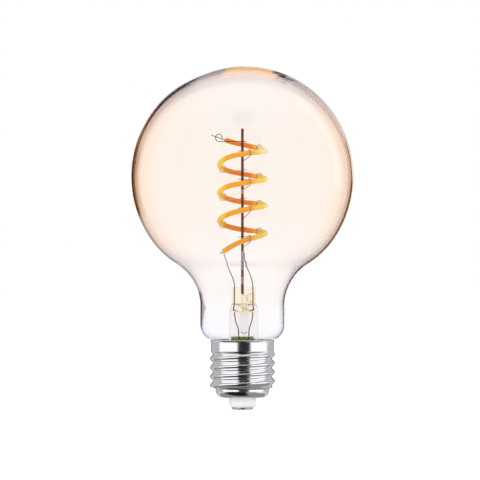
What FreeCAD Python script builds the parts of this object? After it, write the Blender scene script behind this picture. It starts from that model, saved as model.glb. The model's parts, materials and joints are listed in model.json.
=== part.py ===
import FreeCAD, Part
import math
import os
import re
import Sketcher

# Globe bulb with a spiral filament and an E27 screw cap, in millimetres.
# The origin is the centre of the contact's flat bottom, and +Z runs along the axis to the globe.
# Angles round the axis are in degrees from +X, anticlockwise seen from above.

SIZES = {
    # glass envelope
    "globe_radius": 45.15,
    "shoulder_drop": 25.3,
    "shoulder_radius": 35.3,
    "waist_radius": 20.0,
    "neck_radius": 17.1,
    "neck_length": 7.58,
    "hem_radius": 6.45,
    "hem_gap": 0.2,
    "foot_radius": 1.0,
    "seal_depth": 4.25,
    "glass_wall": 0.9,
    # screw cap
    "cap_wall": 0.25,
    "cap_bottom": 4.85,
    "cap_hole_radius": 4.9,
    "cap_corner_radius": 3.15,
    "cap_corner_reach": 10.85,
    "thread_mean_radius": 12.6,
    "thread_depth": 1.2,
    "thread_pitch": 3.629,
    "thread_crest_height": 11.56,
    "thread_fade": 2.2,
    "collar_radius": 12.75,
    "collar_length": 4.15,
    "cap_rim_flare": 0.2,
    "cap_top": 28.05,
    # insulator and contact
    "stub_radius": 5.5,
    "stub_tip_radius": 4.4,
    "stub_tip_height": 0.9,
    "stub_round_height": 2.0,
    "stub_round": 0.6,
    "filler_radius": 7.3,
    "filler_height": 1.3,
    "contact_radius": 4.3,
    "contact_flat_radius": 3.0,
    "contact_edge_height": 0.4,
    "contact_round": 0.2,
    "shank_radius": 1.0,
    "shank_rise": 0.5,
    # stem
    "tube_radius": 5.8,
    "tube_wall": 0.9,
    "tube_length": 16.6,
    "press_rise": 2.6,
    "press_length": 7.1,
    "press_half_width": 4.8,
    "press_half_depth": 1.9,
    "cavity_rise": 1.5,
    "exhaust_radius": 2.2,
    "exhaust_bore": 1.4,
    "exhaust_length": 11.9,
    "exhaust_hole_radius": 1.3,
    "exhaust_hole_rise": 2.4,
    "exhaust_hole_offset": 2.1,
    # rod and lead wires
    "rod_radius": 0.55,
    "rod_seat": 3.2,
    "rod_over": 4.3,
    "lead_radius": 0.22,
    "left_lead_offset": -3.2,
    "right_lead_offset": 4.2,
    "left_pad_offset": -1.5,
    "right_pad_offset": 2.6,
    "pad_drop": 2.3,
    "lead_weld_rise": 10.9,
    "lead_weld_length": 2.6,
    "lead_bow": 3.1,
    "lead_start": 1.0,
    "lead_over": 0.6,
    "lead_hook": 2.0,
    "lead_dip": 3.6,
    "lead_turn_in": 3.0,
    "lead_land": 0.8,
    # filament and what carries it
    "filament_radius": 1.03,
    "coil_radius": 9.3,
    "coil_pitch": 11.7,
    "coil_lift": 17.45,
    "coil_lift_right": 0.47,
    "coil_lift_back": -0.67,
    "coil_first_angle": 214.0,
    "coil_last_angle": 1578.0,
    "pin_width": 0.9,
    "pin_thick": 0.25,
    "top_pin_length": 5.8,
    "bottom_pin_length": 1.8,
    "support_radius": 0.15,
    "support_stub": 1.4,
    "loop_slack": 0.34,
    "first_support_drop": 1.0,
    "left_support_angle": 150.0,
    "right_support_angle": 42.0,
    "front_support_angle": 288.0,
    # driver
    "board_thick": 1.0,
    "board_width": 16.0,
    "board_rise": 2.6,
    "board_gap": 0.6,
    "tongue_width": 9.2,
    "capacitor_radius": 3.15,
    "capacitor_rise": 1.0,
    "capacitor_drop": 1.6,
    "capacitor_pitch": 2.5,
    "crimp_depth": 0.25,
    "crimp_radius": 0.5,
    "crimp_drop": 1.6,
    "fuse_radius": 1.4,
    "fuse_waist": 1.2,
    "fuse_cap_length": 1.6,
    "fuse_rise": 1.5,
    "fuse_drop": 3.6,
    "fuse_inset": 2.0,
    "inductor_radius": 2.6,
    "inductor_core_radius": 1.2,
    "inductor_winding_radius": 2.3,
    "inductor_flange": 0.8,
    "inductor_length": 5.0,
    "inductor_rise": 1.0,
    "inductor_inset": 3.8,
    "package_inset": 4.6,
    "package_width": 3.9,
    "rectifier_length": 4.7,
    "rectifier_thick": 1.6,
    "rectifier_drop": 0.7,
    "chip_length": 4.9,
    "chip_thick": 1.5,
    "chip_rise": 1.2,
    "leg_width": 0.4,
    "leg_thick": 0.2,
    "leg_reach": 1.2,
    "package_standoff": 0.1,
    "resistor_length": 1.6,
    "resistor_width": 0.8,
    "resistor_thick": 0.55,
    "resistor_inset": 3.0,
    "resistor_rise": 3.0,
    "resistor_step": 2.6,
    "wire_radius": 0.25,
    "wire_bend": 0.8,
    "wire_loop": 1.6,
    "trapped_wire_radius": 0.15,
    "solder_radius": 0.75,
    # gaps between pieces that are fused, moulded or pushed together
    "fused_gap": 0.02,
    "seat_gap": 0.05,
    "cement_space": 0.45,
    "cement_gap": 0.03,
    "cement_height": 2.7,
}

# Places that follow from the sizes, and from places named above them.
PLACES = {
    "seal_radius": "collar_radius - cap_wall - cement_space",
    "seal_bottom": "cap_top - seal_depth",
    "rim_reach": "collar_radius + cap_rim_flare - neck_radius + hem_radius",
    "hem_height": "cap_top + hem_gap + sqrt(hem_radius ^ 2 - rim_reach ^ 2)",
    "waist_height": "hem_height + neck_length",
    "shoulder_reach": "(globe_radius - shoulder_radius) * sqrt(1 - (shoulder_drop / globe_radius) ^ 2)",
    "waist_reach": "neck_radius + waist_radius",
    "shoulder_height": "waist_height + sqrt((shoulder_radius + waist_radius) ^ 2"
                       " - (waist_reach - shoulder_reach) ^ 2)",
    "globe_height": "shoulder_height + (globe_radius - shoulder_radius) * shoulder_drop / globe_radius",
    "foot_reach": "seal_radius + foot_radius",
    "hem_reach": "neck_radius - hem_radius",
    "foot_height": "hem_height - sqrt((hem_radius + foot_radius) ^ 2 - (foot_reach - hem_reach) ^ 2)",
    "thread_end": "cap_top - collar_length",
    "filler_bottom": "cap_bottom + cap_wall + fused_gap",
    "filler_top": "filler_bottom + filler_height",
    "shank_top": "filler_top + shank_rise",
    "flare_bend": "seal_radius - glass_wall - fused_gap - tube_radius",
    "flare_height": "seal_bottom + tube_wall + flare_bend",
    "tube_top": "seal_bottom + tube_length",
    "press_bottom": "tube_top + press_rise",
    "press_top": "press_bottom + press_length",
    "cavity_top": "tube_top + cavity_rise",
    "exhaust_tip": "cavity_top - exhaust_length",
    "exhaust_hole_height": "press_bottom + exhaust_hole_rise",
    "rod_bottom": "press_top - rod_seat",
    "coil_height": "press_top + coil_lift",
    "coil_top": "coil_height + coil_pitch * (coil_last_angle - 270) / 360",
    "rod_top": "coil_top + rod_over",
    "support_step": "coil_pitch / 3",
    "loop_radius": "filament_radius + support_radius + loop_slack",
    "board_top": "exhaust_tip - board_gap",
    "board_shoulder": "seal_bottom - 2 * board_gap",
    "board_bottom": "filler_top + board_rise",
    "board_edge": "board_width / 2",
    "board_face": "board_thick / 2",
    "capacitor_bottom": "board_bottom + capacitor_rise",
    "capacitor_top": "board_shoulder - capacitor_drop",
    "capacitor_depth": "board_face + capacitor_radius + seat_gap",
    "fuse_bottom": "board_bottom + fuse_rise",
    "fuse_top": "board_shoulder - fuse_drop",
    "fuse_across": "fuse_inset - board_edge",
    "fuse_depth": "board_face + fuse_radius + seat_gap",
    "rectifier_bottom": "board_shoulder - rectifier_drop - rectifier_length",
    "chip_bottom": "board_bottom + chip_rise",
    "inductor_bottom": "board_bottom + inductor_rise",
    "inductor_across": "inductor_inset - board_edge",
    "inductor_depth": "board_face + inductor_radius + seat_gap",
    "trapped_wire_reach": "(seal_radius + collar_radius - cap_wall) / 2",
}

# How many supports, which way each sort is welded beside the rod, and how far its loop goes round.
SUPPORT_COUNT = 12
SUPPORT_SIDES = ("left", "right", "front")
SUPPORT_WELDS = {"left": -1, "right": 1, "front": 1}
LOOP_SWEEP = 300.0

# How finely the coil's path and the cap's sheet are drawn.
COIL_POINTS_PER_TURN = 16
THREAD_COLUMNS = 48
THREAD_ROWS_PER_PITCH = 14
FLAT_ROWS = 4
CORNER_ROWS = 8
COLLAR_ROWS = 8

# The strip was bent by hand: how far it lies above an even helix, by its angle round the rod.
COIL_SETTLING = ((214, -1.6), (240, -0.85), (270, 0.1), (310, 0.45), (360, 0.6), (450, 0.3), (540, 0.75),
                 (630, 0.9), (720, 0.2), (810, -0.1), (900, 0.35), (950, 0.6), (990, 0.1), (1080, -0.75),
                 (1170, -0.3), (1260, 0), (1310, 0.65), (1350, 0.3), (1440, -0.9), (1530, 0.25),
                 (1578, 0.6))

V = FreeCAD.Vector
UP = V(0, 0, 1)

# The bends that the wires take by hand: across, back and up from where a run starts.
LEAD_BEND = 2.5
LEFT_KNEE = V(-0.6, -0.5, 3.2)
RIGHT_KNEE = V(-0.8, 0, 4.4)
SHELL_WIRE_BENDS = ((-2.2, -3.6), (-0.6, -3.2), (2.1, -1.4))

# An outer lead's knee: its share of the way across to the pad, and of the way out to the bow.
KNEE_ACROSS = 1 / 6
KNEE_OUT = 1 / 5

# A bend takes at most this share of the shorter run beside it.
BEND_SHARE = 0.45

# How many legs the packages have down each side, and how many small resistors the board carries.
RECTIFIER_LEGS = 2
CHIP_LEGS = 4
RESISTOR_COUNT = 3

# The cap's rim: the share of its flare that a row has, and how many rows it lies below the top.
RIM_ROWS = ((0.6, 1.4), (1, 0.6), (1, 0))

# How the top pin bends away from the filament.
TOP_PIN_BEND = V(-0.75, 0.45, 0.3)

doc = FreeCAD.newDocument("globe_bulb")
sheet = doc.addObject("Spreadsheet::Sheet", "Sizes")
for row, (alias, value) in enumerate(SIZES.items(), start=1):
    sheet.set(f"A{row}", alias.replace("_", " "))
    sheet.set(f"B{row}", str(value))
    sheet.setAlias(f"B{row}", alias)
reader = doc.addObject("App::FeaturePython", "reader")
reader.addProperty("App::PropertyFloat", "Result")
doc.recompute()

subparts = []
known = {}


def spelled(text):
    """An expression with its places worked back to the sheet's own sizes."""
    def word(found):
        name = found.group(0)
        if name in PLACES:
            return "(" + spelled(PLACES[name]) + ")"
        return "Sizes." + name if name in SIZES else name
    return re.sub(r"[a-z][a-z_]*", word, text)


def size(text):
    """The number that a size, a place or an expression of them comes to."""
    if text not in known:
        reader.setExpression("Result", spelled(text))
        doc.recompute([reader])
        known[text] = reader.Result
    return known[text]


def keep(item, label):
    """Names a finished sub-part."""
    item.Label = label
    subparts.append(item)
    return item


def bind(item, **expressions):
    """Ties an object's properties to the sheet; a double underscore stands for a dot."""
    for name, expression in expressions.items():
        item.setExpression(name.replace("__", "."), spelled(expression))


class Profile:
    """A sketch of a half outline: x is the radius and y the height."""

    def __init__(self, body, name):
        self.sketch = body.newObject("Sketcher::SketchObject", name)
        planes = body.Origin.OriginFeatures
        self.sketch.AttachmentSupport = [(next(p for p in planes if p.Role == "XZ_Plane"), "")]
        self.sketch.MapMode = "FlatFace"
        self.ends = []

    def line(self, start, end):
        """A straight side, drawn from start to end."""
        index = self.sketch.addGeometry(Part.LineSegment(V(*start, 0), V(*end, 0)), False)
        self.ends.append((index, 1, 2))
        return index

    def arc(self, centre, radius, first, last):
        """An arc from angle first to angle last in radians; clockwise where last is smaller."""
        low, high = min(first, last), max(first, last)
        circle = Part.Circle(V(*centre, 0), UP, radius)
        index = self.sketch.addGeometry(Part.ArcOfCircle(circle, low, high), False)
        self.ends.append((index, 1, 2) if last > first else (index, 2, 1))
        return index

    def rule(self, kind, *arguments, bound=None):
        """A constraint, tied to the sheet where bound gives an expression."""
        index = self.sketch.addConstraint(Sketcher.Constraint(kind, *arguments))
        if bound:
            self.sketch.setExpression(f"Constraints[{index}]", spelled(bound))

    def close(self, tangent=()):
        """Joins each side to the next; tangent holds the places where the joint is smooth."""
        count = len(self.ends)
        for place in range(count):
            one, other = self.ends[place], self.ends[(place + 1) % count]
            kind = "Tangent" if place in tangent else "Coincident"
            self.rule(kind, one[0], one[2], other[0], other[1])

    def on_axis(self, geometry, point):
        """Holds a point on the axis."""
        self.rule("PointOnObject", geometry, point, -2)

    def radius_at(self, geometry, point, bound):
        """Sets how far a point lies from the axis."""
        self.rule("DistanceX", -1, 1, geometry, point, size(bound), bound=bound)

    def height_at(self, geometry, point, bound):
        """Sets a point's height."""
        self.rule("DistanceY", -1, 1, geometry, point, size(bound), bound=bound)

    def radius_of(self, geometry, bound):
        """Sets an arc's radius."""
        self.rule("Radius", geometry, size(bound), bound=bound)


def turned(body, sketch):
    """Revolves a body's sketch a full turn about Z."""
    revolution = body.newObject("PartDesign::Revolution", body.Name + "_turned")
    revolution.Profile = sketch
    revolution.ReferenceAxis = (sketch, ["V_Axis"])
    revolution.Angle = 360
    body.Tip = revolution
    doc.recompute()
    return body


def turned_polygon(name, corners):
    """A turned body whose outline has straight sides: each corner is a radius and a height."""
    body = doc.addObject("PartDesign::Body", name)
    profile = Profile(body, name + "_outline")
    spots = [(size(radius), size(height)) for radius, height in corners]
    for start, end in zip(spots, spots[1:] + spots[:1]):
        profile.line(start, end)
    profile.close()
    for place, (radius, height) in enumerate(corners):
        if radius == "0":
            profile.on_axis(place, 1)
        else:
            profile.radius_at(place, 1, radius)
        profile.height_at(place, 1, height)
    return turned(body, profile.sketch)


def edge_at(edge, radius, height):
    """Whether an edge is the whole circle of this radius at this height."""
    box = edge.BoundBox
    near = 1e-4
    return abs(box.XMax - radius) < near and abs(box.ZMax - height) < near and box.ZLength < near


def rounded(body, radius, height, bend):
    """Rounds the body's circular edge that lies at a radius and a height."""
    base = body.Tip
    at = (size(radius), size(height))
    names = [f"Edge{i + 1}" for i, edge in enumerate(base.Shape.Edges) if edge_at(edge, *at)]
    fillet = body.newObject("PartDesign::Fillet", body.Name + "_round")
    fillet.Base = (base, names)
    bind(fillet, Radius=bend)
    body.Tip = fillet
    doc.recompute()


def cylinder(name, radius, bottom, height, across="0", depth="0"):
    """A cylinder along Z; across and depth place its axis in X and Y."""
    piece = doc.addObject("Part::Cylinder", name)
    bind(piece, Radius=radius, Height=height, Placement__Base__x=across, Placement__Base__y=depth,
         Placement__Base__z=bottom)
    return piece


def joined(name, shapes):
    """Several shapes fused into one."""
    whole = doc.addObject("Part::MultiFuse", name)
    whole.Shapes = shapes
    return whole


def cut(name, base, tool):
    """A shape with another taken out of it."""
    rest = doc.addObject("Part::Cut", name)
    rest.Base = base
    rest.Tool = tool
    return rest


def feature(label, shape, placement=None):
    """A sub-part whose shape no ready feature gives."""
    item = doc.addObject("Part::Feature", label)
    item.Shape = shape
    item.Placement = placement or FreeCAD.Placement()
    return keep(item, label)


def rounded_path(points, bend):
    """Straight runs through the points, with an arc of radius bend at each corner where it fits."""
    edges, start = [], points[0]
    for before, corner, after in zip(points, points[1:], points[2:]):
        back, ahead = before - corner, after - corner
        shorter = min(back.Length, ahead.Length)
        back.normalize()
        ahead.normalize()
        half_turn = (math.pi - back.getAngle(ahead)) / 2
        trim = min(bend * math.tan(half_turn), BEND_SHARE * shorter)
        radius = trim / math.tan(half_turn)
        inward = (back + ahead).normalize()
        middle = corner + inward * (radius / math.cos(half_turn) - radius)
        edges.append(Part.LineSegment(start, corner + back * trim).toShape())
        edges.append(Part.Arc(corner + back * trim, middle, corner + ahead * trim).toShape())
        start = corner + ahead * trim
    edges.append(Part.LineSegment(start, points[-1]).toShape())
    return Part.Wire(edges)


def swept(path, radius):
    """A round solid along a wire."""
    first = path.Edges[0]
    start, way = first.valueAt(first.FirstParameter), first.tangentAt(first.FirstParameter)
    ring = Part.Wire([Part.Circle(start, way, radius).toShape()])
    return path.makePipeShell([ring], True, False)


def glass_outline(body, name, inset):
    """The globe's half outline down to the seal, moved in by inset, which is 0 or a size."""
    globe, shoulder = size(f"globe_radius - {inset}"), size(f"shoulder_radius - {inset}")
    waist, neck = size(f"waist_radius + {inset}"), size(f"neck_radius - {inset}")
    hem, foot, seal = (size(f"hem_radius - {inset}"), size(f"foot_radius + {inset}"),
                       size(f"seal_radius - {inset}"))
    globe_z, shoulder_z, waist_z = size("globe_height"), size("shoulder_height"), size("waist_height")
    hem_z, foot_z = size("hem_height"), size("foot_height")
    shoulder_x, waist_x = size("shoulder_reach"), size("waist_reach")
    hem_x, foot_x = size("hem_reach"), size("foot_reach")
    drop = math.asin(size("shoulder_drop / globe_radius"))
    lean = math.atan2(waist_z - shoulder_z, waist_x - shoulder_x)
    tuck = math.atan2(foot_z - hem_z, foot_x - hem_x)

    profile = Profile(body, name)
    top, bottom = (0, globe_z + globe), size("seal_bottom")
    globe_arc = profile.arc((0, globe_z), globe, math.pi / 2, -drop)
    shoulder_arc = profile.arc((shoulder_x, shoulder_z), shoulder, -drop, lean)
    waist_arc = profile.arc((waist_x, waist_z), waist, math.pi + lean, math.pi)
    neck_line = profile.line((neck, waist_z), (neck, hem_z))
    hem_arc = profile.arc((hem_x, hem_z), hem, 0, tuck)
    foot_arc = profile.arc((foot_x, foot_z), foot, math.pi + tuck, math.pi)
    seal_line = profile.line((seal, foot_z), (seal, bottom))
    profile.line((seal, bottom), (0, bottom))
    axis_line = profile.line((0, bottom), top)
    profile.close(tangent=range(6))

    profile.on_axis(globe_arc, 3)
    profile.height_at(globe_arc, 3, "globe_height")
    profile.radius_of(globe_arc, f"globe_radius - {inset}")
    globe_end = f"globe_height - (globe_radius - {inset}) * shoulder_drop / globe_radius"
    profile.height_at(globe_arc, 1, globe_end)
    profile.radius_of(shoulder_arc, f"shoulder_radius - {inset}")
    profile.radius_of(waist_arc, f"waist_radius + {inset}")
    profile.rule("Vertical", neck_line)
    profile.radius_at(neck_line, 1, f"neck_radius - {inset}")
    profile.radius_of(hem_arc, f"hem_radius - {inset}")
    profile.height_at(hem_arc, 3, "hem_height")
    profile.radius_of(foot_arc, f"foot_radius + {inset}")
    profile.rule("Vertical", seal_line)
    profile.radius_at(seal_line, 1, f"seal_radius - {inset}")
    profile.height_at(seal_line, 2, "seal_bottom")
    profile.on_axis(axis_line, 1)
    profile.on_axis(axis_line, 2)
    profile.height_at(axis_line, 1, "seal_bottom")
    return profile.sketch


def glass_envelope():
    """The blown globe with its shoulder, waist, neck, hem and the seal inside the cap."""
    body = doc.addObject("PartDesign::Body", "envelope")
    turned(body, glass_outline(body, "envelope_outside", "0"))
    inside = glass_outline(body, "envelope_inside", "glass_wall")
    hollow = body.newObject("PartDesign::Groove", "envelope_hollow")
    hollow.Profile = inside
    hollow.ReferenceAxis = (inside, ["V_Axis"])
    hollow.Angle = 360
    body.Tip = hollow
    keep(body, "glass_envelope")


def flare_tube():
    """The stem's tube, which opens downwards like a bell to meet the envelope's seal."""
    outer, inner, bend = size("tube_radius"), size("tube_radius - tube_wall"), size("flare_bend")
    bell_z, top, bottom = size("flare_height"), size("tube_top"), size("seal_bottom")
    rim = outer + bend
    body = doc.addObject("PartDesign::Body", "flare_tube")
    profile = Profile(body, "flare_outline")
    bore_line = profile.line((inner, bell_z), (inner, top))
    lid = profile.line((inner, top), (outer, top))
    side = profile.line((outer, top), (outer, bell_z))
    bell = profile.arc((rim, bell_z), bend, math.pi, 1.5 * math.pi)
    edge = profile.line((rim, bell_z - bend), (rim, bottom))
    lining = profile.arc((rim, bell_z), rim - inner, 1.5 * math.pi, math.pi)
    profile.close(tangent=(2, 5))
    for upright in (bore_line, side, edge):
        profile.rule("Vertical", upright)
    profile.rule("Horizontal", lid)
    profile.radius_at(bore_line, 1, "tube_radius - tube_wall")
    profile.radius_at(side, 1, "tube_radius")
    profile.height_at(side, 1, "tube_top")
    profile.radius_of(bell, "flare_bend")
    profile.rule("Coincident", lining, 3, bell, 3)
    profile.height_at(edge, 2, "seal_bottom")
    profile.radius_at(edge, 2, "tube_radius + flare_bend")
    return turned(body, profile.sketch)


def stem_flare():
    """The flared tube, pinched at its top into the flat press that holds the rod and the leads."""
    ring = doc.addObject("Part::Circle", "shoulder_ring")
    bind(ring, Radius="tube_radius", Placement__Base__z="tube_top")
    flat = doc.addObject("Part::Ellipse", "press_outline")
    bind(flat, MajorRadius="press_half_width", MinorRadius="press_half_depth")
    bind(flat, Placement__Base__z="press_bottom")
    shoulders = doc.addObject("Part::Loft", "press_shoulders")
    shoulders.Sections = [ring, flat]
    shoulders.Solid = True
    pinch = doc.addObject("Part::Extrusion", "press_flat")
    pinch.Base = flat
    pinch.DirMode = "Custom"
    pinch.Dir = UP
    pinch.Solid = True
    bind(pinch, LengthFwd="press_length")
    glass = joined("stem_glass", [flare_tube(), shoulders, pinch])

    cavity = doc.addObject("Part::Cone", "stem_cavity")
    bind(cavity, Radius1="tube_radius - tube_wall", Radius2="exhaust_radius + fused_gap")
    bind(cavity, Height="cavity_rise", Placement__Base__z="tube_top")
    channel = cylinder("exhaust_channel", "exhaust_bore", "cavity_top", "exhaust_hole_height - cavity_top")
    side_hole = cylinder("exhaust_side_hole", "exhaust_hole_radius", "exhaust_hole_height",
                         "4 * press_half_depth", "exhaust_hole_offset", "2 * press_half_depth")
    side_hole.Placement.Rotation = FreeCAD.Rotation(V(1, 0, 0), 90)
    rod_hole = cylinder("rod_hole", "rod_radius + fused_gap", "rod_bottom", "rod_seat")
    lead_holes = [cylinder(f"{side}_lead_hole", "lead_radius + fused_gap", "tube_top",
                           "press_rise + press_length", f"{side}_lead_offset")
                  for side in ("left", "right")]
    holes = joined("stem_holes", [cavity, channel, side_hole, rod_hole, *lead_holes])
    keep(cut("stem", glass, holes), "stem_flare")


def exhaust_tube():
    """The narrow tube that the bulb was pumped through, sealed off to a round tip."""
    outer, bore, top = size("exhaust_radius"), size("exhaust_bore"), size("cavity_top")
    centre_z = size("exhaust_tip + exhaust_radius")
    body = doc.addObject("PartDesign::Body", "exhaust")
    profile = Profile(body, "exhaust_outline")
    profile.line((bore, top), (outer, top))
    side = profile.line((outer, top), (outer, centre_z))
    tip = profile.arc((0, centre_z), outer, 0, -math.pi / 2)
    floor = profile.line((0, centre_z - outer), (0, centre_z - bore))
    hollow = profile.arc((0, centre_z), bore, -math.pi / 2, 0)
    wall = profile.line((bore, centre_z), (bore, top))
    profile.close(tangent=(1, 4))
    profile.rule("Vertical", side)
    profile.rule("Vertical", wall)
    profile.radius_at(side, 1, "exhaust_radius")
    profile.height_at(side, 1, "cavity_top")
    profile.radius_at(wall, 2, "exhaust_bore")
    profile.height_at(wall, 2, "cavity_top")
    profile.on_axis(tip, 3)
    profile.height_at(tip, 3, "exhaust_tip + exhaust_radius")
    profile.rule("Coincident", hollow, 3, tip, 3)
    profile.on_axis(floor, 1)
    profile.on_axis(floor, 2)
    turned(body, profile.sketch)
    keep(body, "exhaust_tube")


def centre_rod():
    """The upright metal rod in the press, which carries the supports and feeds the coil's top."""
    keep(cylinder("rod", "rod_radius", "rod_bottom", "rod_top - rod_bottom"), "centre_rod")


def settled(angle):
    """How far the filament lies above an even helix: a smooth curve through the settling's points."""
    points = [(2 * COIL_SETTLING[0][0] - COIL_SETTLING[1][0], COIL_SETTLING[0][1]), *COIL_SETTLING,
              (2 * COIL_SETTLING[-1][0] - COIL_SETTLING[-2][0], COIL_SETTLING[-1][1])]
    angle = min(max(angle, COIL_SETTLING[0][0]), COIL_SETTLING[-1][0])
    index = max(i for i in range(1, len(points) - 2) if points[i][0] <= angle)
    before, (low, start), (high, end), after = points[index - 1:index + 3]
    share, run = (angle - low) / (high - low), high - low
    lead_in = (end - before[1]) / (high - before[0]) * run
    lead_out = (after[1] - start) / (after[0] - low) * run
    return ((1 + 2 * share) * (1 - share) ** 2 * start + share * (1 - share) ** 2 * lead_in
            + share ** 2 * (3 - 2 * share) * end + share ** 2 * (share - 1) * lead_out)


def coil_point(angle):
    """The centre of the filament at an angle: a helix that hangs higher in front than behind."""
    turn = math.radians(angle)
    reach = size("coil_radius")
    height = size("coil_height") + size("coil_pitch") * (angle - 270) / 360 + settled(angle)
    height += size("coil_lift_right") * math.cos(turn) + size("coil_lift_back") * math.sin(turn)
    return V(reach * math.cos(turn), reach * math.sin(turn), height)


def coil_points():
    """Points along the filament's centre, from its lower end to its upper one."""
    first, last = size("coil_first_angle"), size("coil_last_angle")
    count = round((last - first) / 360 * COIL_POINTS_PER_TURN)
    return [coil_point(first + (last - first) * i / count) for i in range(count + 1)]


def end_way(at_top):
    """The way the filament's upper or lower end looks."""
    points = coil_points()
    return (points[-1] - points[-2] if at_top else points[0] - points[1]).normalize()


def top_pin_way():
    """The top pin leaves the filament's end bent up and outwards."""
    return (end_way(True) + TOP_PIN_BEND).normalize()


def filament():
    """The flexible light strip, wound as a helix, with a flat metal pin at each end."""
    points = coil_points()
    feature("filament", swept(rounded_path(points, size("coil_radius")), size("filament_radius")))
    feature("filament_pin_top", *flat_pin(points[-1], True, top_pin_way(), size("top_pin_length")))
    feature("filament_pin_bottom", *flat_pin(points[0], False, end_way(False), size("bottom_pin_length")))


def flat_pin(end, at_top, way, length):
    """A flat metal strip from an end of the filament, and its placement along way."""
    width, thick = size("pin_width"), size("pin_thick")
    slant = math.sin(way.getAngle(end_way(at_top)))
    start = end + way * (slant * (width + thick) / 2 + size("fused_gap"))
    across = UP.cross(way).normalize()
    strip = Part.makeBox(length, width, thick, V(0, -width / 2, -thick / 2))
    return strip, FreeCAD.Placement(start, FreeCAD.Rotation(way, across, way.cross(across), "XYZ"))


def support_wires():
    """Thin wires welded across the rod, three a turn; each ends in a loop round the filament."""
    last_turn = 360 * math.floor(size("coil_last_angle") / 360)
    for index in range(SUPPORT_COUNT):
        turns_down, place = divmod(index, len(SUPPORT_SIDES))
        side = SUPPORT_SIDES[place]
        angle = last_turn + size(f"{side}_support_angle") - 360 * turns_down
        if side == "front":
            angle -= 360
        height = size("coil_top") - size("first_support_drop") - index * size("support_step")
        loop_centre = coil_point(angle)
        if index == 0:
            loop_centre = coil_point(size("coil_last_angle")) + top_pin_way() * size("top_pin_length / 2")
            angle = math.degrees(math.atan2(loop_centre.y, loop_centre.x))
        local_centre = FreeCAD.Rotation(UP, -angle).multVec(loop_centre - UP * height)
        shape = support_shape(local_centre, SUPPORT_WELDS[side])
        placement = FreeCAD.Placement(UP * height, FreeCAD.Rotation(UP, angle))
        feature(f"support_wire_{index + 1:02d}", shape, placement)


def support_shape(loop_centre, weld_side):
    """One support in its own frame: the rod's axis is Z, and the filament lies along +X."""
    loop, wire = size("loop_radius"), size("support_radius")
    weld = V(0, weld_side * (size("rod_radius") + wire + size("fused_gap")), 0)
    out = loop_centre - weld
    opening = math.acos(loop / out.Length)
    out.normalize()
    rise = out.cross(UP).normalize().cross(out)

    def on_loop(angle):
        return loop_centre + (out * math.cos(angle) + rise * math.sin(angle)) * loop

    begin, sweep = math.pi + opening, math.radians(LOOP_SWEEP)
    touch, middle, end = (on_loop(begin + sweep * part) for part in (0, 0.5, 1))
    stub = weld - (touch - weld).normalize() * size("support_stub")
    path = Part.Wire([Part.LineSegment(stub, touch).toShape(), Part.Arc(touch, middle, end).toShape()])
    return swept(path, wire)


def lead_wires():
    """Each lead is three welded lengths: inside the bulb, through the press, and down to the driver."""
    inner = {"left": left_lead_route(), "right": right_lead_route()}
    for side in ("left", "right"):
        feature(f"inner_lead_{side}", swept(rounded_path(inner[side], LEAD_BEND), size("lead_radius")))
        seal = cylinder(f"seal_{side}", "lead_radius", "tube_top", "press_rise + press_length",
                        f"{side}_lead_offset")
        keep(seal, f"seal_wire_{side}")
        route = outer_lead_route(size(f"{side}_lead_offset"), size(f"{side}_pad_offset"))
        feature(f"outer_lead_{side}", swept(rounded_path(route, LEAD_BEND), size("lead_radius")))


def left_lead_route():
    """From the press out to the pin at the filament's lower end, and past the pin's edge."""
    way, beside = end_way(False), size("pin_width / 2 + lead_radius + fused_gap")
    pin = coil_points()[0] + way * size("bottom_pin_length / 2 + fused_gap")
    top = pin - UP.cross(way).normalize() * beside
    foot = V(size("left_lead_offset"), 0, size("press_top"))
    knee = foot + LEFT_KNEE
    hook = top - (top - knee).normalize() * size("lead_hook")
    return [foot, foot + UP * size("lead_start"), knee, hook, top + UP * size("lead_over")]


def right_lead_route():
    """From the press in to the rod, where the lead's last stretch is welded along the rod."""
    foot = V(size("right_lead_offset"), 0, size("press_top"))
    weld = V(size("rod_radius + lead_radius + fused_gap"), 0, size("press_top + lead_weld_rise"))
    start, knee, end = UP * size("lead_start"), foot + RIGHT_KNEE, UP * size("lead_weld_length")
    return [foot, foot + start, knee, weld, weld + end]


def outer_lead_route(offset, pad):
    """From the press down past the exhaust tube, and back to a pad on the driver board's face."""
    start, top = V(offset, 0, size("tube_top")), size("board_top")
    face, bow = -size("board_face + lead_radius + fused_gap"), -size("lead_bow")
    knee = V(offset + (pad - offset) * KNEE_ACROSS, bow * KNEE_OUT, start.z - size("lead_dip"))
    return [start, start - UP * size("lead_start"), knee, V(pad, bow, top + size("lead_turn_in")),
            V(pad, face, top - size("lead_land")), V(pad, face, top - size("pad_drop + lead_over"))]


def smooth(value):
    """A ramp from 0 to 1 with soft ends."""
    value = min(max(value, 0), 1)
    return value * value * (3 - 2 * value)


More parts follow.
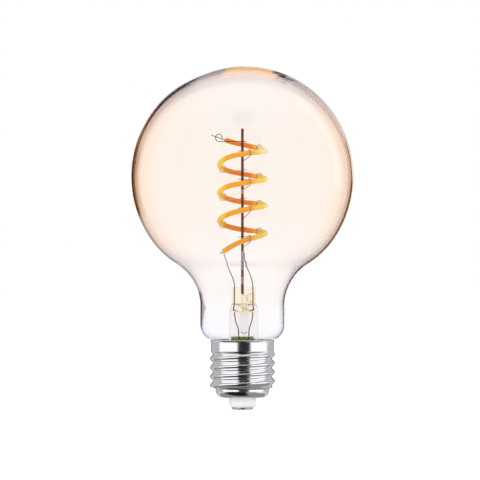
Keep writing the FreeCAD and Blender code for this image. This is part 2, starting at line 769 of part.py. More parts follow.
def cap_outline():
    """Rows of the cap's outer face: radius, height and how much of the thread each row takes."""
    bottom, reach, corner = size("cap_bottom"), size("cap_corner_reach"), size("cap_corner_radius")
    end, fade, top = size("thread_end"), size("thread_fade"), size("cap_top")
    mean, collar, flare = size("thread_mean_radius"), size("collar_radius"), size("cap_rim_flare")
    hole, flat_end, low = size("cap_hole_radius"), reach - corner, bottom + corner
    rows = [(hole + (flat_end - hole) * i / FLAT_ROWS, bottom, 0) for i in range(FLAT_ROWS)]
    for i in range(CORNER_ROWS):
        angle = math.radians(-90 + 90 * i / CORNER_ROWS)
        rows.append((flat_end + corner * math.cos(angle), low + corner * math.sin(angle), 0))
    count = round((end - low) / size("thread_pitch") * THREAD_ROWS_PER_PITCH)
    for i in range(count):
        height = low + (end - low) * i / count
        swell, settle = smooth((height - low) / fade), smooth((end - height) / fade)
        radius = reach + (mean - reach) * swell + (collar - mean) * (1 - settle)
        rows.append((radius, height, swell * settle))
    rise = (top - end) / COLLAR_ROWS
    rows += [(collar, end + rise * i, 0) for i in range(COLLAR_ROWS - 2)]
    rows += [(collar + flare * share, top - rise * below, 0) for share, below in RIM_ROWS]
    return rows


def cap_shell():
    """The drawn metal cap with its rolled thread: one sheet, so the thread shows inside too."""
    pitch, crest = size("thread_pitch"), size("thread_crest_height")
    half_depth = size("thread_depth / 2") * overshoot(THREAD_ROWS_PER_PITCH)
    rows, outside, inside = cap_outline(), [], []
    for column in range(THREAD_COLUMNS):
        turn = 2 * math.pi * column / THREAD_COLUMNS
        line = []
        for radius, height, thread in rows:
            phase = 2 * math.pi * (height - crest) / pitch - turn
            line.append((radius + half_depth * thread * math.cos(phase), height))
        outside.append([ring_point(turn, *spot) for spot in line])
        inside.append([ring_point(turn, *spot) for spot in moved_in(line, size("cap_wall"))])
    outer, inner = skin(outside), skin(inside)
    bands = [Part.makeRuledSurface(one, other) for one, other in zip(end_rings(outer), end_rings(inner))]
    shell = Part.makeShell([outer, inner, *bands])
    shell.sewShape()
    solid = Part.makeSolid(shell.Shells[0])
    if solid.Volume < 0:
        solid.reverse()
    feature("cap_shell", solid)


def overshoot(steps):
    """How far a cubic curve's poles lie outside a wave that takes this many steps a turn."""
    return 3 / (2 + math.cos(2 * math.pi / steps))


def ring_point(turn, radius, height):
    """A pole at an angle about the axis."""
    reach = radius * overshoot(THREAD_COLUMNS)
    return V(reach * math.cos(turn), reach * math.sin(turn), height)


def moved_in(line, wall):
    """The line of radii and heights moved in by the wall, square to itself."""
    moved = []
    for place, (radius, height) in enumerate(line):
        before, after = line[max(place - 1, 0)], line[min(place + 1, len(line) - 1)]
        run, climb = after[0] - before[0], after[1] - before[1]
        length = math.hypot(run, climb)
        moved.append((radius - wall * climb / length, height + wall * run / length))
    return moved


def skin(columns):
    """A cubic face through a net of poles that closes round the axis."""
    poles = [list(row) for row in zip(*columns)]
    along, around = len(poles), len(poles[0])
    along_knots, around_knots = list(range(along - 2)), list(range(around + 1))
    along_repeats = [4] + [1] * (along - 4) + [4]
    surface = Part.BSplineSurface()
    surface.buildFromPolesMultsKnots(poles, along_repeats, [1] * (around + 1), along_knots, around_knots,
                                     False, True, 3, 3)
    return surface.toShape()


def end_rings(face):
    """The closed edges at the bottom and the top of such a face."""
    rings = sorted((edge for edge in face.Edges if edge.isClosed()), key=lambda edge: edge.CenterOfMass.z)
    return rings[0], rings[-1]


def insulator():
    """The white plastic stub, moulded through the hole in the cap's bottom."""
    bore, waist, under = "shank_radius + fused_gap", "cap_hole_radius - fused_gap", "cap_bottom - fused_gap"
    body = turned_polygon("stub", [
        (bore, "stub_tip_height"), ("stub_tip_radius", "stub_tip_height"),
        ("stub_radius", "stub_round_height"), ("stub_radius", under), (waist, under),
        (waist, "filler_bottom"), ("filler_radius", "filler_bottom"),
        ("filler_radius", "filler_top"), (bore, "filler_top")])
    rounded(body, "stub_radius", "stub_round_height", "stub_round")
    keep(body, "insulator")


def centre_contact():
    """The centre contact: a shallow dome with a flat middle, riveted up through the insulator."""
    under = "stub_tip_height - fused_gap"
    body = turned_polygon("rivet", [
        ("0", "0"), ("contact_flat_radius", "0"), ("contact_radius", "contact_edge_height"),
        ("contact_radius", under), ("shank_radius", under), ("shank_radius", "shank_top"),
        ("0", "shank_top")])
    rounded(body, "contact_radius", "contact_edge_height", "contact_round")
    keep(body, "centre_contact")


def basing_cement():
    """The ring of cement between the glass and the cap's collar, grooved for the trapped wire."""
    outer = cylinder("cement_outer", "collar_radius - cap_wall - cement_gap", "seal_bottom + board_gap",
                     "cement_height")
    inner = cylinder("cement_inner", "seal_radius + cement_gap", "seal_bottom", "seal_depth")
    groove = cylinder("cement_groove", "trapped_wire_radius + fused_gap", "seal_bottom", "seal_depth",
                      "trapped_wire_reach")
    keep(cut("cement", outer, joined("cement_tools", [inner, groove])), "basing_cement")


def driver_board():
    """The green board: a wide part in the cap, and a tongue that reaches up into the stem's tube."""
    corners = [("-board_edge", "board_bottom"), ("board_edge", "board_bottom"),
               ("board_edge", "board_shoulder"), ("tongue_width / 2", "board_shoulder"),
               ("tongue_width / 2", "board_top"), ("-tongue_width / 2", "board_top"),
               ("-tongue_width / 2", "board_shoulder"), ("-board_edge", "board_shoulder")]
    spots = [(size(across), size(height)) for across, height in corners]
    body = doc.addObject("PartDesign::Body", "board")
    profile = Profile(body, "board_outline")
    for start, end in zip(spots, spots[1:] + spots[:1]):
        profile.line(start, end)
    profile.close()
    for place, (across, height) in enumerate(corners):
        profile.radius_at(place, 1, across)
        profile.height_at(place, 1, height)
    pad = body.newObject("PartDesign::Pad", "board_pad")
    pad.Profile = profile.sketch
    pad.Midplane = True
    bind(pad, Length="board_thick")
    body.Tip = pad
    keep(body, "driver_board")


def wire_to_board(label, across, depth, top):
    """A component's wire: up from its top, then back into the board's face."""
    rise, face = size("wire_loop"), -size("board_face + fused_gap")
    route = [V(across, depth, top), V(across, depth, top + rise), V(across, face, top + rise)]
    feature(label, swept(rounded_path(route, size("wire_bend")), size("wire_radius")))


def smoothing_capacitor():
    """The electrolytic can, lying along the board's front, with its crimped neck and two wires."""
    can = cylinder("capacitor_can", "capacitor_radius", "capacitor_bottom",
                   "capacitor_top - capacitor_bottom", depth="-capacitor_depth")
    crimp = doc.addObject("Part::Torus", "capacitor_crimp")
    bind(crimp, Radius1="capacitor_radius - crimp_depth + crimp_radius", Radius2="crimp_radius")
    bind(crimp, Placement__Base__y="-capacitor_depth")
    bind(crimp, Placement__Base__z="capacitor_top - crimp_drop")
    keep(cut("capacitor", can, crimp), "smoothing_capacitor")
    top, depth = size("capacitor_top"), -size("capacitor_depth")
    for name, sign in (("a", -1), ("b", 1)):
        wire_to_board(f"capacitor_lead_{name}", sign * size("capacitor_pitch / 2"), depth, top)


def fuse_resistor():
    """The fusible resistor at the board's edge, between the board and the contact's wire."""
    core = cylinder("fuse_core", "fuse_waist", "fuse_bottom", "fuse_top - fuse_bottom", "fuse_across",
                    "-fuse_depth")
    ends = [cylinder(name, "fuse_radius", bottom, "fuse_cap_length", "fuse_across", "-fuse_depth")
            for name, bottom in (("fuse_foot", "fuse_bottom"), ("fuse_head", "fuse_top - fuse_cap_length"))]
    keep(joined("fuse", [core, *ends]), "fuse_resistor")

    across, depth = size("fuse_across"), -size("fuse_depth")
    wire_to_board("fuse_lead", across, depth, size("fuse_top"))
    bottom, shank = size("fuse_bottom"), size("shank_top")
    over = shank + size("wire_loop") / 2
    route = [V(across, depth, bottom), V(across, depth, bottom - size("wire_loop")),
             V(across / 2, depth / 2, over), V(0, 0, over), V(0, 0, shank)]
    feature("contact_wire", swept(rounded_path(route, size("wire_bend")), size("wire_radius")))


def shell_wire():
    """The bare wire from the board up between the glass and the cap, where the cement traps it."""
    edge, shoulder, wedge = size("board_edge"), size("board_shoulder"), size("trapped_wire_reach")
    face = -size("board_face + trapped_wire_radius + fused_gap")
    route = [V(edge + across, face, shoulder + up) for across, up in SHELL_WIRE_BENDS]
    route += [V(wedge, 0, shoulder), V(wedge, 0, size("seal_bottom + board_gap + cement_height"))]
    feature("shell_wire", swept(rounded_path(route, size("wire_loop")), size("trapped_wire_radius")))


def package(label, bottom, length, thick, legs):
    """A flat package on the board's back: its block, and legs along both sides bent down to the board."""
    wide, tall, deep = size("package_width"), size(length), size(thick)
    leg, sheet_thick, reach = size("leg_width"), size("leg_thick"), size("leg_reach")
    across, low = size("board_edge - package_inset"), size(bottom)
    face = size("board_face + fused_gap")
    half = face + deep / 2
    solid = Part.makeBox(wide, deep - size("package_standoff"), tall,
                         V(across - wide / 2, face + size("package_standoff"), low))
    for index in range(legs):
        height = low + tall * (index + 0.5) / legs - leg / 2
        for sign in (-1, 1):
            side = across + sign * wide / 2
            root = side - (reach / 2 if sign < 0 else 0)
            knee = side + sign * reach / 2 - (sheet_thick if sign > 0 else 0)
            foot = side + (reach / 2 - sheet_thick if sign > 0 else -reach)
            solid = solid.fuse([
                Part.makeBox(reach / 2, sheet_thick, leg, V(root, half - sheet_thick, height)),
                Part.makeBox(sheet_thick, half - face, leg, V(knee, face, height)),
                Part.makeBox(reach / 2 + sheet_thick, sheet_thick, leg, V(foot, face, height))])
    feature(label, solid.removeSplitter())


def chip_resistors():
    """Small resistors down the board's front, by its right edge."""
    for index in range(RESISTOR_COUNT):
        block = doc.addObject("Part::Box", f"resistor_block_{index + 1}")
        bind(block, Length="resistor_length", Width="resistor_thick", Height="resistor_width")
        bind(block, Placement__Base__x="board_edge - resistor_inset")
        bind(block, Placement__Base__y="-(board_face + fused_gap + resistor_thick)")
        bind(block, Placement__Base__z=f"board_bottom + resistor_rise + {index} * resistor_step")
        keep(block, f"chip_resistor_{index + 1}")


def inductor():
    """The drum inductor behind the board: a ferrite bobbin and its copper winding."""
    at = ("inductor_across", "inductor_depth")
    core = cylinder("bobbin", "inductor_core_radius", "inductor_bottom", "inductor_length", *at)
    low = cylinder("bobbin_low", "inductor_radius", "inductor_bottom", "inductor_flange", *at)
    high = cylinder("bobbin_high", "inductor_radius", "inductor_bottom + inductor_length - inductor_flange",
                    "inductor_flange", *at)
    keep(joined("drum", [core, low, high]), "inductor_core")
    outer = cylinder("winding_outer", "inductor_winding_radius",
                     "inductor_bottom + inductor_flange + fused_gap",
                     "inductor_length - 2 * inductor_flange - 2 * fused_gap", *at)
    inner = cylinder("winding_inner", "inductor_core_radius + fused_gap", "inductor_bottom",
                     "inductor_length", *at)
    keep(cut("winding", outer, inner), "inductor_winding")


def solder_joints():
    """A dome of solder over each lead's end, on its pad near the top of the board."""
    face, radius = size("board_face + fused_gap"), size("solder_radius")
    hole, wire_face = size("lead_radius + fused_gap"), size("board_face + lead_radius + fused_gap")
    height, wire_end = size("board_top - pad_drop"), size("board_top - pad_drop - lead_over - fused_gap")
    for side in ("left", "right"):
        across = size(f"{side}_pad_offset")
        dome = Part.makeSphere(radius, V(across, -face, height), V(0, -1, 0), 0, 90, 360)
        wire = Part.makeCylinder(hole, 4 * radius, V(across, -wire_face, wire_end), UP)
        feature(f"lead_solder_{side}", dome.cut(wire))


glass_envelope()
stem_flare()
exhaust_tube()
centre_rod()
filament()
support_wires()
lead_wires()
cap_shell()
insulator()
centre_contact()
basing_cement()
driver_board()
smoothing_capacitor()
fuse_resistor()
shell_wire()
package("bridge_rectifier", "rectifier_bottom", "rectifier_length", "rectifier_thick", RECTIFIER_LEGS)
package("driver_chip", "chip_bottom", "chip_length", "chip_thick", CHIP_LEGS)
chip_resistors()
inductor()
solder_joints()
doc.removeObject("reader")

doc.recompute()
for item in doc.Objects:
    if "Invalid" in item.State or "Error" in item.State:
        raise RuntimeError(f"{item.Label} did not rebuild: {item.State}")
for item in subparts:
    if item.Shape.isNull() or not item.Shape.isValid():
        raise RuntimeError(f"{item.Label} has no valid shape")

os.makedirs("parts", exist_ok=True)
for item in subparts:
    item.Shape.exportStep(f"parts/{item.Label}.step")
    box = item.Shape.BoundBox
    print(f"{item.Label:20s} solids {len(item.Shape.Solids)} volume {item.Shape.Volume:9.2f}"
          f" z {box.ZMin:7.2f} to {box.ZMax:7.2f}")
print(len(subparts), "sub-parts")
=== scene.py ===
import json
import math
import bpy
import mathutils
import numpy as np
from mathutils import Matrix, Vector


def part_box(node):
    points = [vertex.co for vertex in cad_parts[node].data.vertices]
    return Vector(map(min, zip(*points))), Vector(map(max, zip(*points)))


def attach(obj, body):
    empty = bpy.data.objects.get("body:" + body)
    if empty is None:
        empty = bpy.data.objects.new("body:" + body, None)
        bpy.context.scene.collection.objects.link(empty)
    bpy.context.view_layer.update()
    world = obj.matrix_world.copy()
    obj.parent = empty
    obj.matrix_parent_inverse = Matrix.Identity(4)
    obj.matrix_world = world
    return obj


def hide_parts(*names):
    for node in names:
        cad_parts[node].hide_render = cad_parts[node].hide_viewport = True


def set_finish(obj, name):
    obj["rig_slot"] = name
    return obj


# Globe bulb with a spiral light strip in amber-tinted glass, in metres.
# The frame's origin is the flat bottom of the centre contact, and +Z runs up the bulb's axis.
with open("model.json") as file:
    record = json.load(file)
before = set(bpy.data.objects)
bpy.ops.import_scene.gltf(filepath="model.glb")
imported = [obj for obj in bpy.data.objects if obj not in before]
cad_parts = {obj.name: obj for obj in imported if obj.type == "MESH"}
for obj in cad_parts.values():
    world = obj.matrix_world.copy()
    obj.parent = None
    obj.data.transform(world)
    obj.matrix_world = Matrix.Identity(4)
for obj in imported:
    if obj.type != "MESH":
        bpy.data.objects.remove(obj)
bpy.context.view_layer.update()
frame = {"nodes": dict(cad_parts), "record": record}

MM = 0.001
TURN = 2 * math.pi
CREASE = 35.0


# Shapes: rings of points made into closed meshes.

def finish_mesh(name, verts, faces, slot, replaced, sharp=CREASE):
    """A smooth mesh object of vertices and faces, with creases where it turns by over sharp degrees."""
    mesh = bpy.data.meshes.new(name)
    mesh.from_pydata(verts.tolist(), [], faces)
    mesh.shade_smooth()
    mesh.set_sharp_from_angle(angle=math.radians(sharp))
    piece = bpy.data.objects.new(name, mesh)
    bpy.context.scene.collection.objects.link(piece)
    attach(piece, "root")
    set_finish(piece, slot)
    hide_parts(*replaced)
    return piece


def signed_volume(verts, faces):
    """Six times the volume inside the faces: each face's fan of corners, as triple products added up."""
    total = 0.0
    quads = np.array([face for face in faces if len(face) == 4], int).reshape(-1, 4)
    triangles = np.array([face for face in faces if len(face) == 3], int).reshape(-1, 3)
    for corners in (quads[:, [0, 1, 2]], quads[:, [0, 2, 3]], triangles):
        a, b, c = verts[corners[:, 0]], verts[corners[:, 1]], verts[corners[:, 2]]
        total += float(np.einsum("ij,ij->i", a, np.cross(b, c)).sum())
    return total


def net_of(rings, looped):
    """The faces between rings of equal length; looped joins the last ring to the first, else both
    ends close on a centre point. Faces point outwards: the side on which the volume comes out positive."""
    rows, columns = rings.shape[:2]
    verts = rings.reshape(-1, 3)
    row = np.arange(rows if looped else rows - 1)[:, None]
    column = np.arange(columns)[None, :]
    after, beside = (row + 1) % rows, (column + 1) % columns
    quads = np.stack([row * columns + column, row * columns + beside, after * columns + beside,
                      after * columns + column], axis=-1).reshape(-1, 4)
    faces = quads.tolist()
    if not looped:
        verts = np.vstack([verts, rings[0].mean(axis=0), rings[-1].mean(axis=0)])
        ring = np.arange(columns)
        low = np.stack([ring * 0 + rows * columns, (ring + 1) % columns, ring], axis=-1)
        last = (rows - 1) * columns
        high = np.stack([ring * 0 + rows * columns + 1, last + ring, last + (ring + 1) % columns], axis=-1)
        faces += low.tolist() + high.tolist()
    if signed_volume(verts, faces) < 0:
        faces = [face[::-1] for face in faces]
    return verts, faces


def skin(name, rings, slot, replaced, looped=False, sharp=CREASE):
    """A closed piece over rings of points."""
    verts, faces = net_of(rings, looped)
    return finish_mesh(name, verts, faces, slot, replaced, sharp)


def store(piece, name, values):
    """Keeps one number for each vertex."""
    layer = piece.data.attributes.new(name, "FLOAT", "POINT")
    layer.data.foreach_set("value", np.asarray(values, np.float32))


def once_round(columns):
    """Evenly spaced angles once round."""
    return np.linspace(0, TURN, columns, endpoint=False)


def turned(outline, columns):
    """Rings about the Z axis from an outline of radii and heights: x = r cos a, y = r sin a."""
    angle = once_round(columns)
    radius, height = outline[:, 0, None], outline[:, 1, None]
    return np.stack([radius * np.cos(angle), radius * np.sin(angle), height + 0 * angle], axis=-1)


def arc(centre, radius, start, end, steps):
    """Points on a circle from angle start to angle end in degrees: centre + r (cos a, sin a)."""
    angle = np.radians(np.linspace(start, end, steps))
    return np.stack([centre[0] + radius * np.cos(angle), centre[1] + radius * np.sin(angle)], axis=-1)


def line(start, end, steps):
    """Points spaced evenly from start to end."""
    share = np.linspace(0, 1, steps)[:, None]
    return np.asarray(start) * (1 - share) + np.asarray(end) * share


def ramp(value, low, high):
    """A smooth step from 0 at low to 1 at high: 3t^2 - 2t^3."""
    share = np.clip((value - low) / (high - low), 0, 1)
    return share * share * (3 - 2 * share)


# Glass envelope: a globe, a shoulder, a waist that curves the other way, a straight neck, a rounded
# hem and a narrow seal inside the cap.
envelope_low, envelope_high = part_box("glass_envelope")
cap_low, cap_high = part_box("cap_shell")
GLOBE = envelope_high.x
GLOBE_Z = envelope_high.z - GLOBE
SEAL_BOTTOM = envelope_low.z
CAP_TOP = cap_high.z
SHOULDER_DROP = 25.3 * MM
SHOULDER = 35.3 * MM
WAIST = 20.0 * MM
NECK = 17.1 * MM
HEM = 6.45 * MM
HEM_GAP = 0.2 * MM
FOOT = 1.0 * MM
SEAL = 12.05 * MM
GLASS_WALL = 0.65 * MM
TOP_WALL = 1.5 * MM
HEM_WALL = 0.28 * MM
CAP_RIM = 12.95 * MM
POLE_TURN = 89.6
GLOBE_COLUMNS = 232
FLAT_DEPTH, FLAT_REACH, FLAT_TURN = 0.75 * MM, 8.5 * MM, -22.0


def envelope_side():
    """The envelope's outer and inner outlines from the top to the seal: arcs joined where they touch. The
    wall is w + (w_top - w) cos^2 a at angle a from the top, w below the middle, and thins along the
    neck."""
    drop = math.degrees(math.asin(SHOULDER_DROP / GLOBE))
    shoulder = np.array([(GLOBE - SHOULDER) * math.cos(math.radians(drop)),
                         GLOBE_Z - (GLOBE - SHOULDER) * SHOULDER_DROP / GLOBE])
    waist_r = NECK + WAIST
    waist_drop = math.sqrt((SHOULDER + WAIST) ** 2 - (waist_r - shoulder[0]) ** 2)
    waist = np.array([waist_r, shoulder[1] - waist_drop])
    lean = math.degrees(math.atan2(waist[1] - shoulder[1], waist[0] - shoulder[0]))
    hem_r, foot_r = NECK - HEM, SEAL + FOOT
    hem = np.array([hem_r, CAP_TOP + HEM_GAP + math.sqrt(HEM ** 2 - (CAP_RIM - hem_r) ** 2)])
    foot = np.array([foot_r, hem[1] - math.sqrt((HEM + FOOT) ** 2 - (foot_r - hem_r) ** 2)])
    tuck = math.degrees(math.atan2(foot[1] - hem[1], foot[0] - hem[0]))
    sides = []
    for wall, hem_wall in ((0, 0), (GLASS_WALL, HEM_WALL)):
        turn = np.radians(np.linspace(POLE_TURN, -drop, 116))
        swell = (TOP_WALL - GLASS_WALL) * np.clip(np.sin(turn), 0, 1) ** 2 if wall else 0
        crown = GLOBE - wall - swell
        sides.append(np.vstack([
            np.stack([crown * np.cos(turn), GLOBE_Z + crown * np.sin(turn)], axis=-1),
            arc(shoulder, SHOULDER - wall, -drop, lean, 12)[1:],
            arc(waist, WAIST + wall, 180 + lean, 180, 36)[1:],
            line((NECK - wall, waist[1]), (NECK - hem_wall, hem[1]), 8)[1:],
            arc(hem, HEM - hem_wall, 0, tuck, 22)[1:],
            arc(foot, FOOT + hem_wall, 180 + tuck, 180, 8)[1:],
            line((SEAL - hem_wall, foot[1]), (SEAL - hem_wall, SEAL_BOTTOM), 4)[1:],
        ]))
    return sides


def glass_envelope():
    """One closed skin: down the outside, across the seal's edge and up the inside. The globe was blown a
    little flat at its upper left: each point moves in by depth exp(-d^2 / 2 reach^2), d from that place."""
    outer, inner = envelope_side()
    rings = turned(np.vstack([outer, inner[::-1]]), GLOBE_COLUMNS)
    centre, turn = np.array([0, 0, GLOBE_Z]), math.radians(FLAT_TURN)
    place = centre + GLOBE * np.array([math.sin(turn), 0, math.cos(turn)])
    away = np.linalg.norm(rings - place, axis=-1, keepdims=True)
    outward = (rings - centre) / np.linalg.norm(rings - centre, axis=-1, keepdims=True)
    rings = rings - outward * FLAT_DEPTH * np.exp(-away ** 2 / (2 * FLAT_REACH ** 2))
    return skin("globe_glass", rings, "amber_glass", ["glass_envelope"])


# Stem: a bell, a tube and a flat press. Each ring is a superellipse of its own half width, half depth
# and squareness.
TUBE = 5.8 * MM
TUBE_WALL = 0.6 * MM
PRESS_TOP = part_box("stem_flare")[1].z
PRESS_BOTTOM = PRESS_TOP - 7.1 * MM
TUBE_TOP = PRESS_BOTTOM - 2.6 * MM
PRESS_HALF = np.array([4.8, 1.9]) * MM
PRESS_EDGE = 0.5 * MM
EXHAUST = 2.2 * MM
EXHAUST_BORE = 1.4 * MM
EXHAUST_TOP = TUBE_TOP + 1.5 * MM
CHANNEL_TOP = PRESS_BOTTOM + 2.4 * MM
BELL = 5.33 * MM
PINCH_START, PINCH_END = TUBE_TOP - 0.6 * MM, PRESS_BOTTOM + 0.8 * MM
ROUND, SQUARE = 2.0, 4.6
CONE_LEAD = 0.4 * MM
STEM_SIDE = 0.62 * MM
LEAN_START, LEAN_END = SEAL_BOTTOM + 1.5 * MM, SEAL_BOTTOM + 8.0 * MM
HOLE_START, HOLE_LENGTH, HOLE_DEPTH = 1.7 * MM, 3.2 * MM, -0.3 * MM
HOLE_TALL, HOLE_DEEP = (1.3 * MM, 1.2 * MM), (0.65 * MM, 0.45 * MM)
HOLE_FULL, HOLE_SLIT = 0.97, 0.02
HOLE_STEPS, HOLE_COLUMNS = 26, 40
STEM_COLUMNS, TUBE_COLUMNS = 96, 48


def superellipse(half_width, half_depth, squareness, height):
    """Rings with |x / a|^n + |y / b|^n = 1: x = a sgn(cos) |cos|^(2/n), y = b sgn(sin) |sin|^(2/n)."""
    angle = once_round(STEM_COLUMNS)
    power = 2 / squareness[:, None]
    across = np.sign(np.cos(angle)) * np.abs(np.cos(angle)) ** power * half_width[:, None]
    depth = np.sign(np.sin(angle)) * np.abs(np.sin(angle)) ** power * half_depth[:, None]
    return np.stack([across, depth, height[:, None] + 0 * angle], axis=-1)


def aside(height):
    """The tube was sealed in a little off the axis: it leans to the right from its bell to its press."""
    return STEM_SIDE * ramp(height, LEAN_START, LEAN_END)


def exhaust_hole():
    """The void that the side hole leaves in the press: ellipses at shares t along X that widen towards
    the edge and close at both ends, as slit + full (1 - |2t - 1|^6)^(1/2)."""
    along = np.linspace(0, 1, HOLE_STEPS)
    swell = np.sqrt(np.clip(1 - np.abs(2 * along - 1) ** 6, 0, 1)) * HOLE_FULL + HOLE_SLIT
    middle = HOLE_START + HOLE_LENGTH * along
    tall = (HOLE_TALL[0] + HOLE_TALL[1] * along) * swell
    deep = (HOLE_DEEP[0] + HOLE_DEEP[1] * along) * swell
    angle = once_round(HOLE_COLUMNS)
    return np.stack([middle[:, None] + 0 * angle, HOLE_DEPTH + deep[:, None] * np.cos(angle),
                     CHANNEL_TOP + tall[:, None] * np.sin(angle)], axis=-1)


def stem_glass():
    """The flared tube and its press: down the outside to the bell's rim, and up the bore, with the side
    hole as a void in the press."""
    bell = (TUBE + BELL, SEAL_BOTTOM + TUBE_WALL + BELL)
    outer = np.vstack([arc(bell, BELL, 180, 270, 16)[::-1], line((TUBE, bell[1]), (TUBE, TUBE_TOP), 8)[1:]])
    inner = np.vstack([arc(bell, BELL + TUBE_WALL, 180, 270, 16)[::-1],
                       line((TUBE - TUBE_WALL, bell[1]), (TUBE - TUBE_WALL, TUBE_TOP - TUBE_WALL), 8)[1:]])
    rise = np.linspace(TUBE_TOP, PRESS_TOP - PRESS_EDGE, 34)[1:]
    pinch = ramp(rise, PINCH_START, PINCH_END)
    edge = np.linspace(0, 90, 8)[1:]
    round_off = PRESS_EDGE * (1 - np.cos(np.radians(edge)))
    edge_z = PRESS_TOP - PRESS_EDGE + PRESS_EDGE * np.sin(np.radians(edge))
    width = np.concatenate([outer[:, 0], TUBE + (PRESS_HALF[0] - TUBE) * pinch, PRESS_HALF[0] - round_off])
    depth = np.concatenate([outer[:, 0], TUBE + (PRESS_HALF[1] - TUBE) * pinch, PRESS_HALF[1] - round_off])
    square = np.concatenate([np.full(len(outer), ROUND), ROUND + (SQUARE - ROUND) * pinch,
                             np.full(len(edge), SQUARE)])
    outside = superellipse(width, depth, square, np.concatenate([outer[:, 1], rise, edge_z]))
    cone = np.linspace(TUBE_TOP - TUBE_WALL, EXHAUST_TOP, 8)[1:]
    narrowed = ramp(cone, cone[0] - CONE_LEAD, cone[-1])
    narrowing = TUBE - TUBE_WALL + (EXHAUST_BORE - TUBE + TUBE_WALL) * narrowed
    channel = line((EXHAUST_BORE, EXHAUST_TOP), (EXHAUST_BORE, CHANNEL_TOP), 6)[1:]
    dome = arc((0, CHANNEL_TOP), EXHAUST_BORE, 0, 85, 7)[1:]
    bore = np.vstack([inner, np.stack([narrowing, cone], axis=-1), channel, dome])
    inside = superellipse(bore[:, 0], bore[:, 0], np.full(len(bore), ROUND), bore[:, 1])
    rings = np.vstack([outside[::-1], inside])
    rings[..., 0] += aside(rings[..., 2])
    verts, faces = net_of(rings, False)
    hole_verts, hole_faces = net_of(exhaust_hole(), False)
    shift = len(verts)
    faces += [[corner + shift for corner in face[::-1]] for face in hole_faces]
    piece = finish_mesh("stem_glass", np.vstack([verts, hole_verts]), faces, "clear_glass", ["stem_flare"])
    store(piece, "hole_wall", np.concatenate([np.zeros(len(verts)), np.ones(len(hole_verts))]))
    return piece


def exhaust_glass():
    """The exhaust tube: down its outside, round the sealed tip and up its bore, as one closed loop."""
    low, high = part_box("exhaust_tube")
    tip = (0, low.z + EXHAUST)
    outline = np.vstack([line((EXHAUST, high.z), (EXHAUST, tip[1]), 4), arc(tip, EXHAUST, 0, -89, 14)[1:],
                         arc(tip, EXHAUST_BORE, -89, 0, 12),
                         line((EXHAUST_BORE, tip[1]), (EXHAUST_BORE, high.z), 4)[1:]])
    rings = turned(outline, TUBE_COLUMNS)
    rings[..., 0] += aside(rings[..., 2])
    return skin("exhaust_glass", rings, "clear_glass", ["exhaust_tube"], looped=True)


# Light strip: a round section carried along a helix that hangs a little higher in front and at the right.
STRIP = 1.03 * MM
COIL = 9.3 * MM
PITCH = 11.7 * MM
COIL_LIFT = 17.45 * MM
COIL_TILT = np.array([0.47, -0.67]) * MM
COIL_START, COIL_END = 214.0, 1578.0
SETTLING = np.array([
    (214, -1.6), (240, -0.85), (270, 0.1), (310, 0.45), (360, 0.6), (450, 0.3), (540, 0.75), (630, 0.9),
    (720, 0.2), (810, -0.1), (900, 0.35), (950, 0.6), (990, 0.1), (1080, -0.75), (1170, -0.3), (1260, 0),
    (1310, 0.65), (1350, 0.3), (1440, -0.9), (1530, 0.25), (1578, 0.6)])
TIP_LENGTH, TIP_NARROWING = 0.45 * MM, 0.45
CHIP_PITCH, CHIP_SWELL = 0.9 * MM, 0.012
STRIP_STEPS, STRIP_COLUMNS, STRIP_CREASE = 720, 28, 60.0


def settled(degrees):
    """How far the strip lies above an even helix: a cubic through each pair of the settling's points, whose
    slope at a point is that between its neighbours."""
    place, rise = SETTLING.T
    place = np.concatenate([[2 * place[0] - place[1]], place, [2 * place[-1] - place[-2]]])
    rise = np.concatenate([rise[:1], rise, rise[-1:]])
    slope = (rise[2:] - rise[:-2]) / (place[2:] - place[:-2])
    place, rise = place[1:-1], rise[1:-1]
    index = np.clip(np.searchsorted(place, degrees, side="right") - 1, 0, len(place) - 2)
    run = place[index + 1] - place[index]
    share = np.clip((degrees - place[index]) / run, 0, 1)
    return MM * ((1 + 2 * share) * (1 - share) ** 2 * rise[index]
                 + share * (1 - share) ** 2 * slope[index] * run
                 + share ** 2 * (3 - 2 * share) * rise[index + 1]
                 + share ** 2 * (share - 1) * slope[index + 1] * run)


def coil_line(degrees):
    """The helix: (R cos a, R sin a, z0 + pitch (a - 270) / 360 + tilt + settling), with the tilt along
    cos a and sin a."""
    angle = np.radians(degrees)
    height = PRESS_TOP + COIL_LIFT + PITCH * (degrees - 270) / 360 + settled(degrees)
    height = height + COIL_TILT[0] * np.cos(angle) + COIL_TILT[1] * np.sin(angle)
    return np.stack([COIL * np.cos(angle), COIL * np.sin(angle), height], axis=-1)


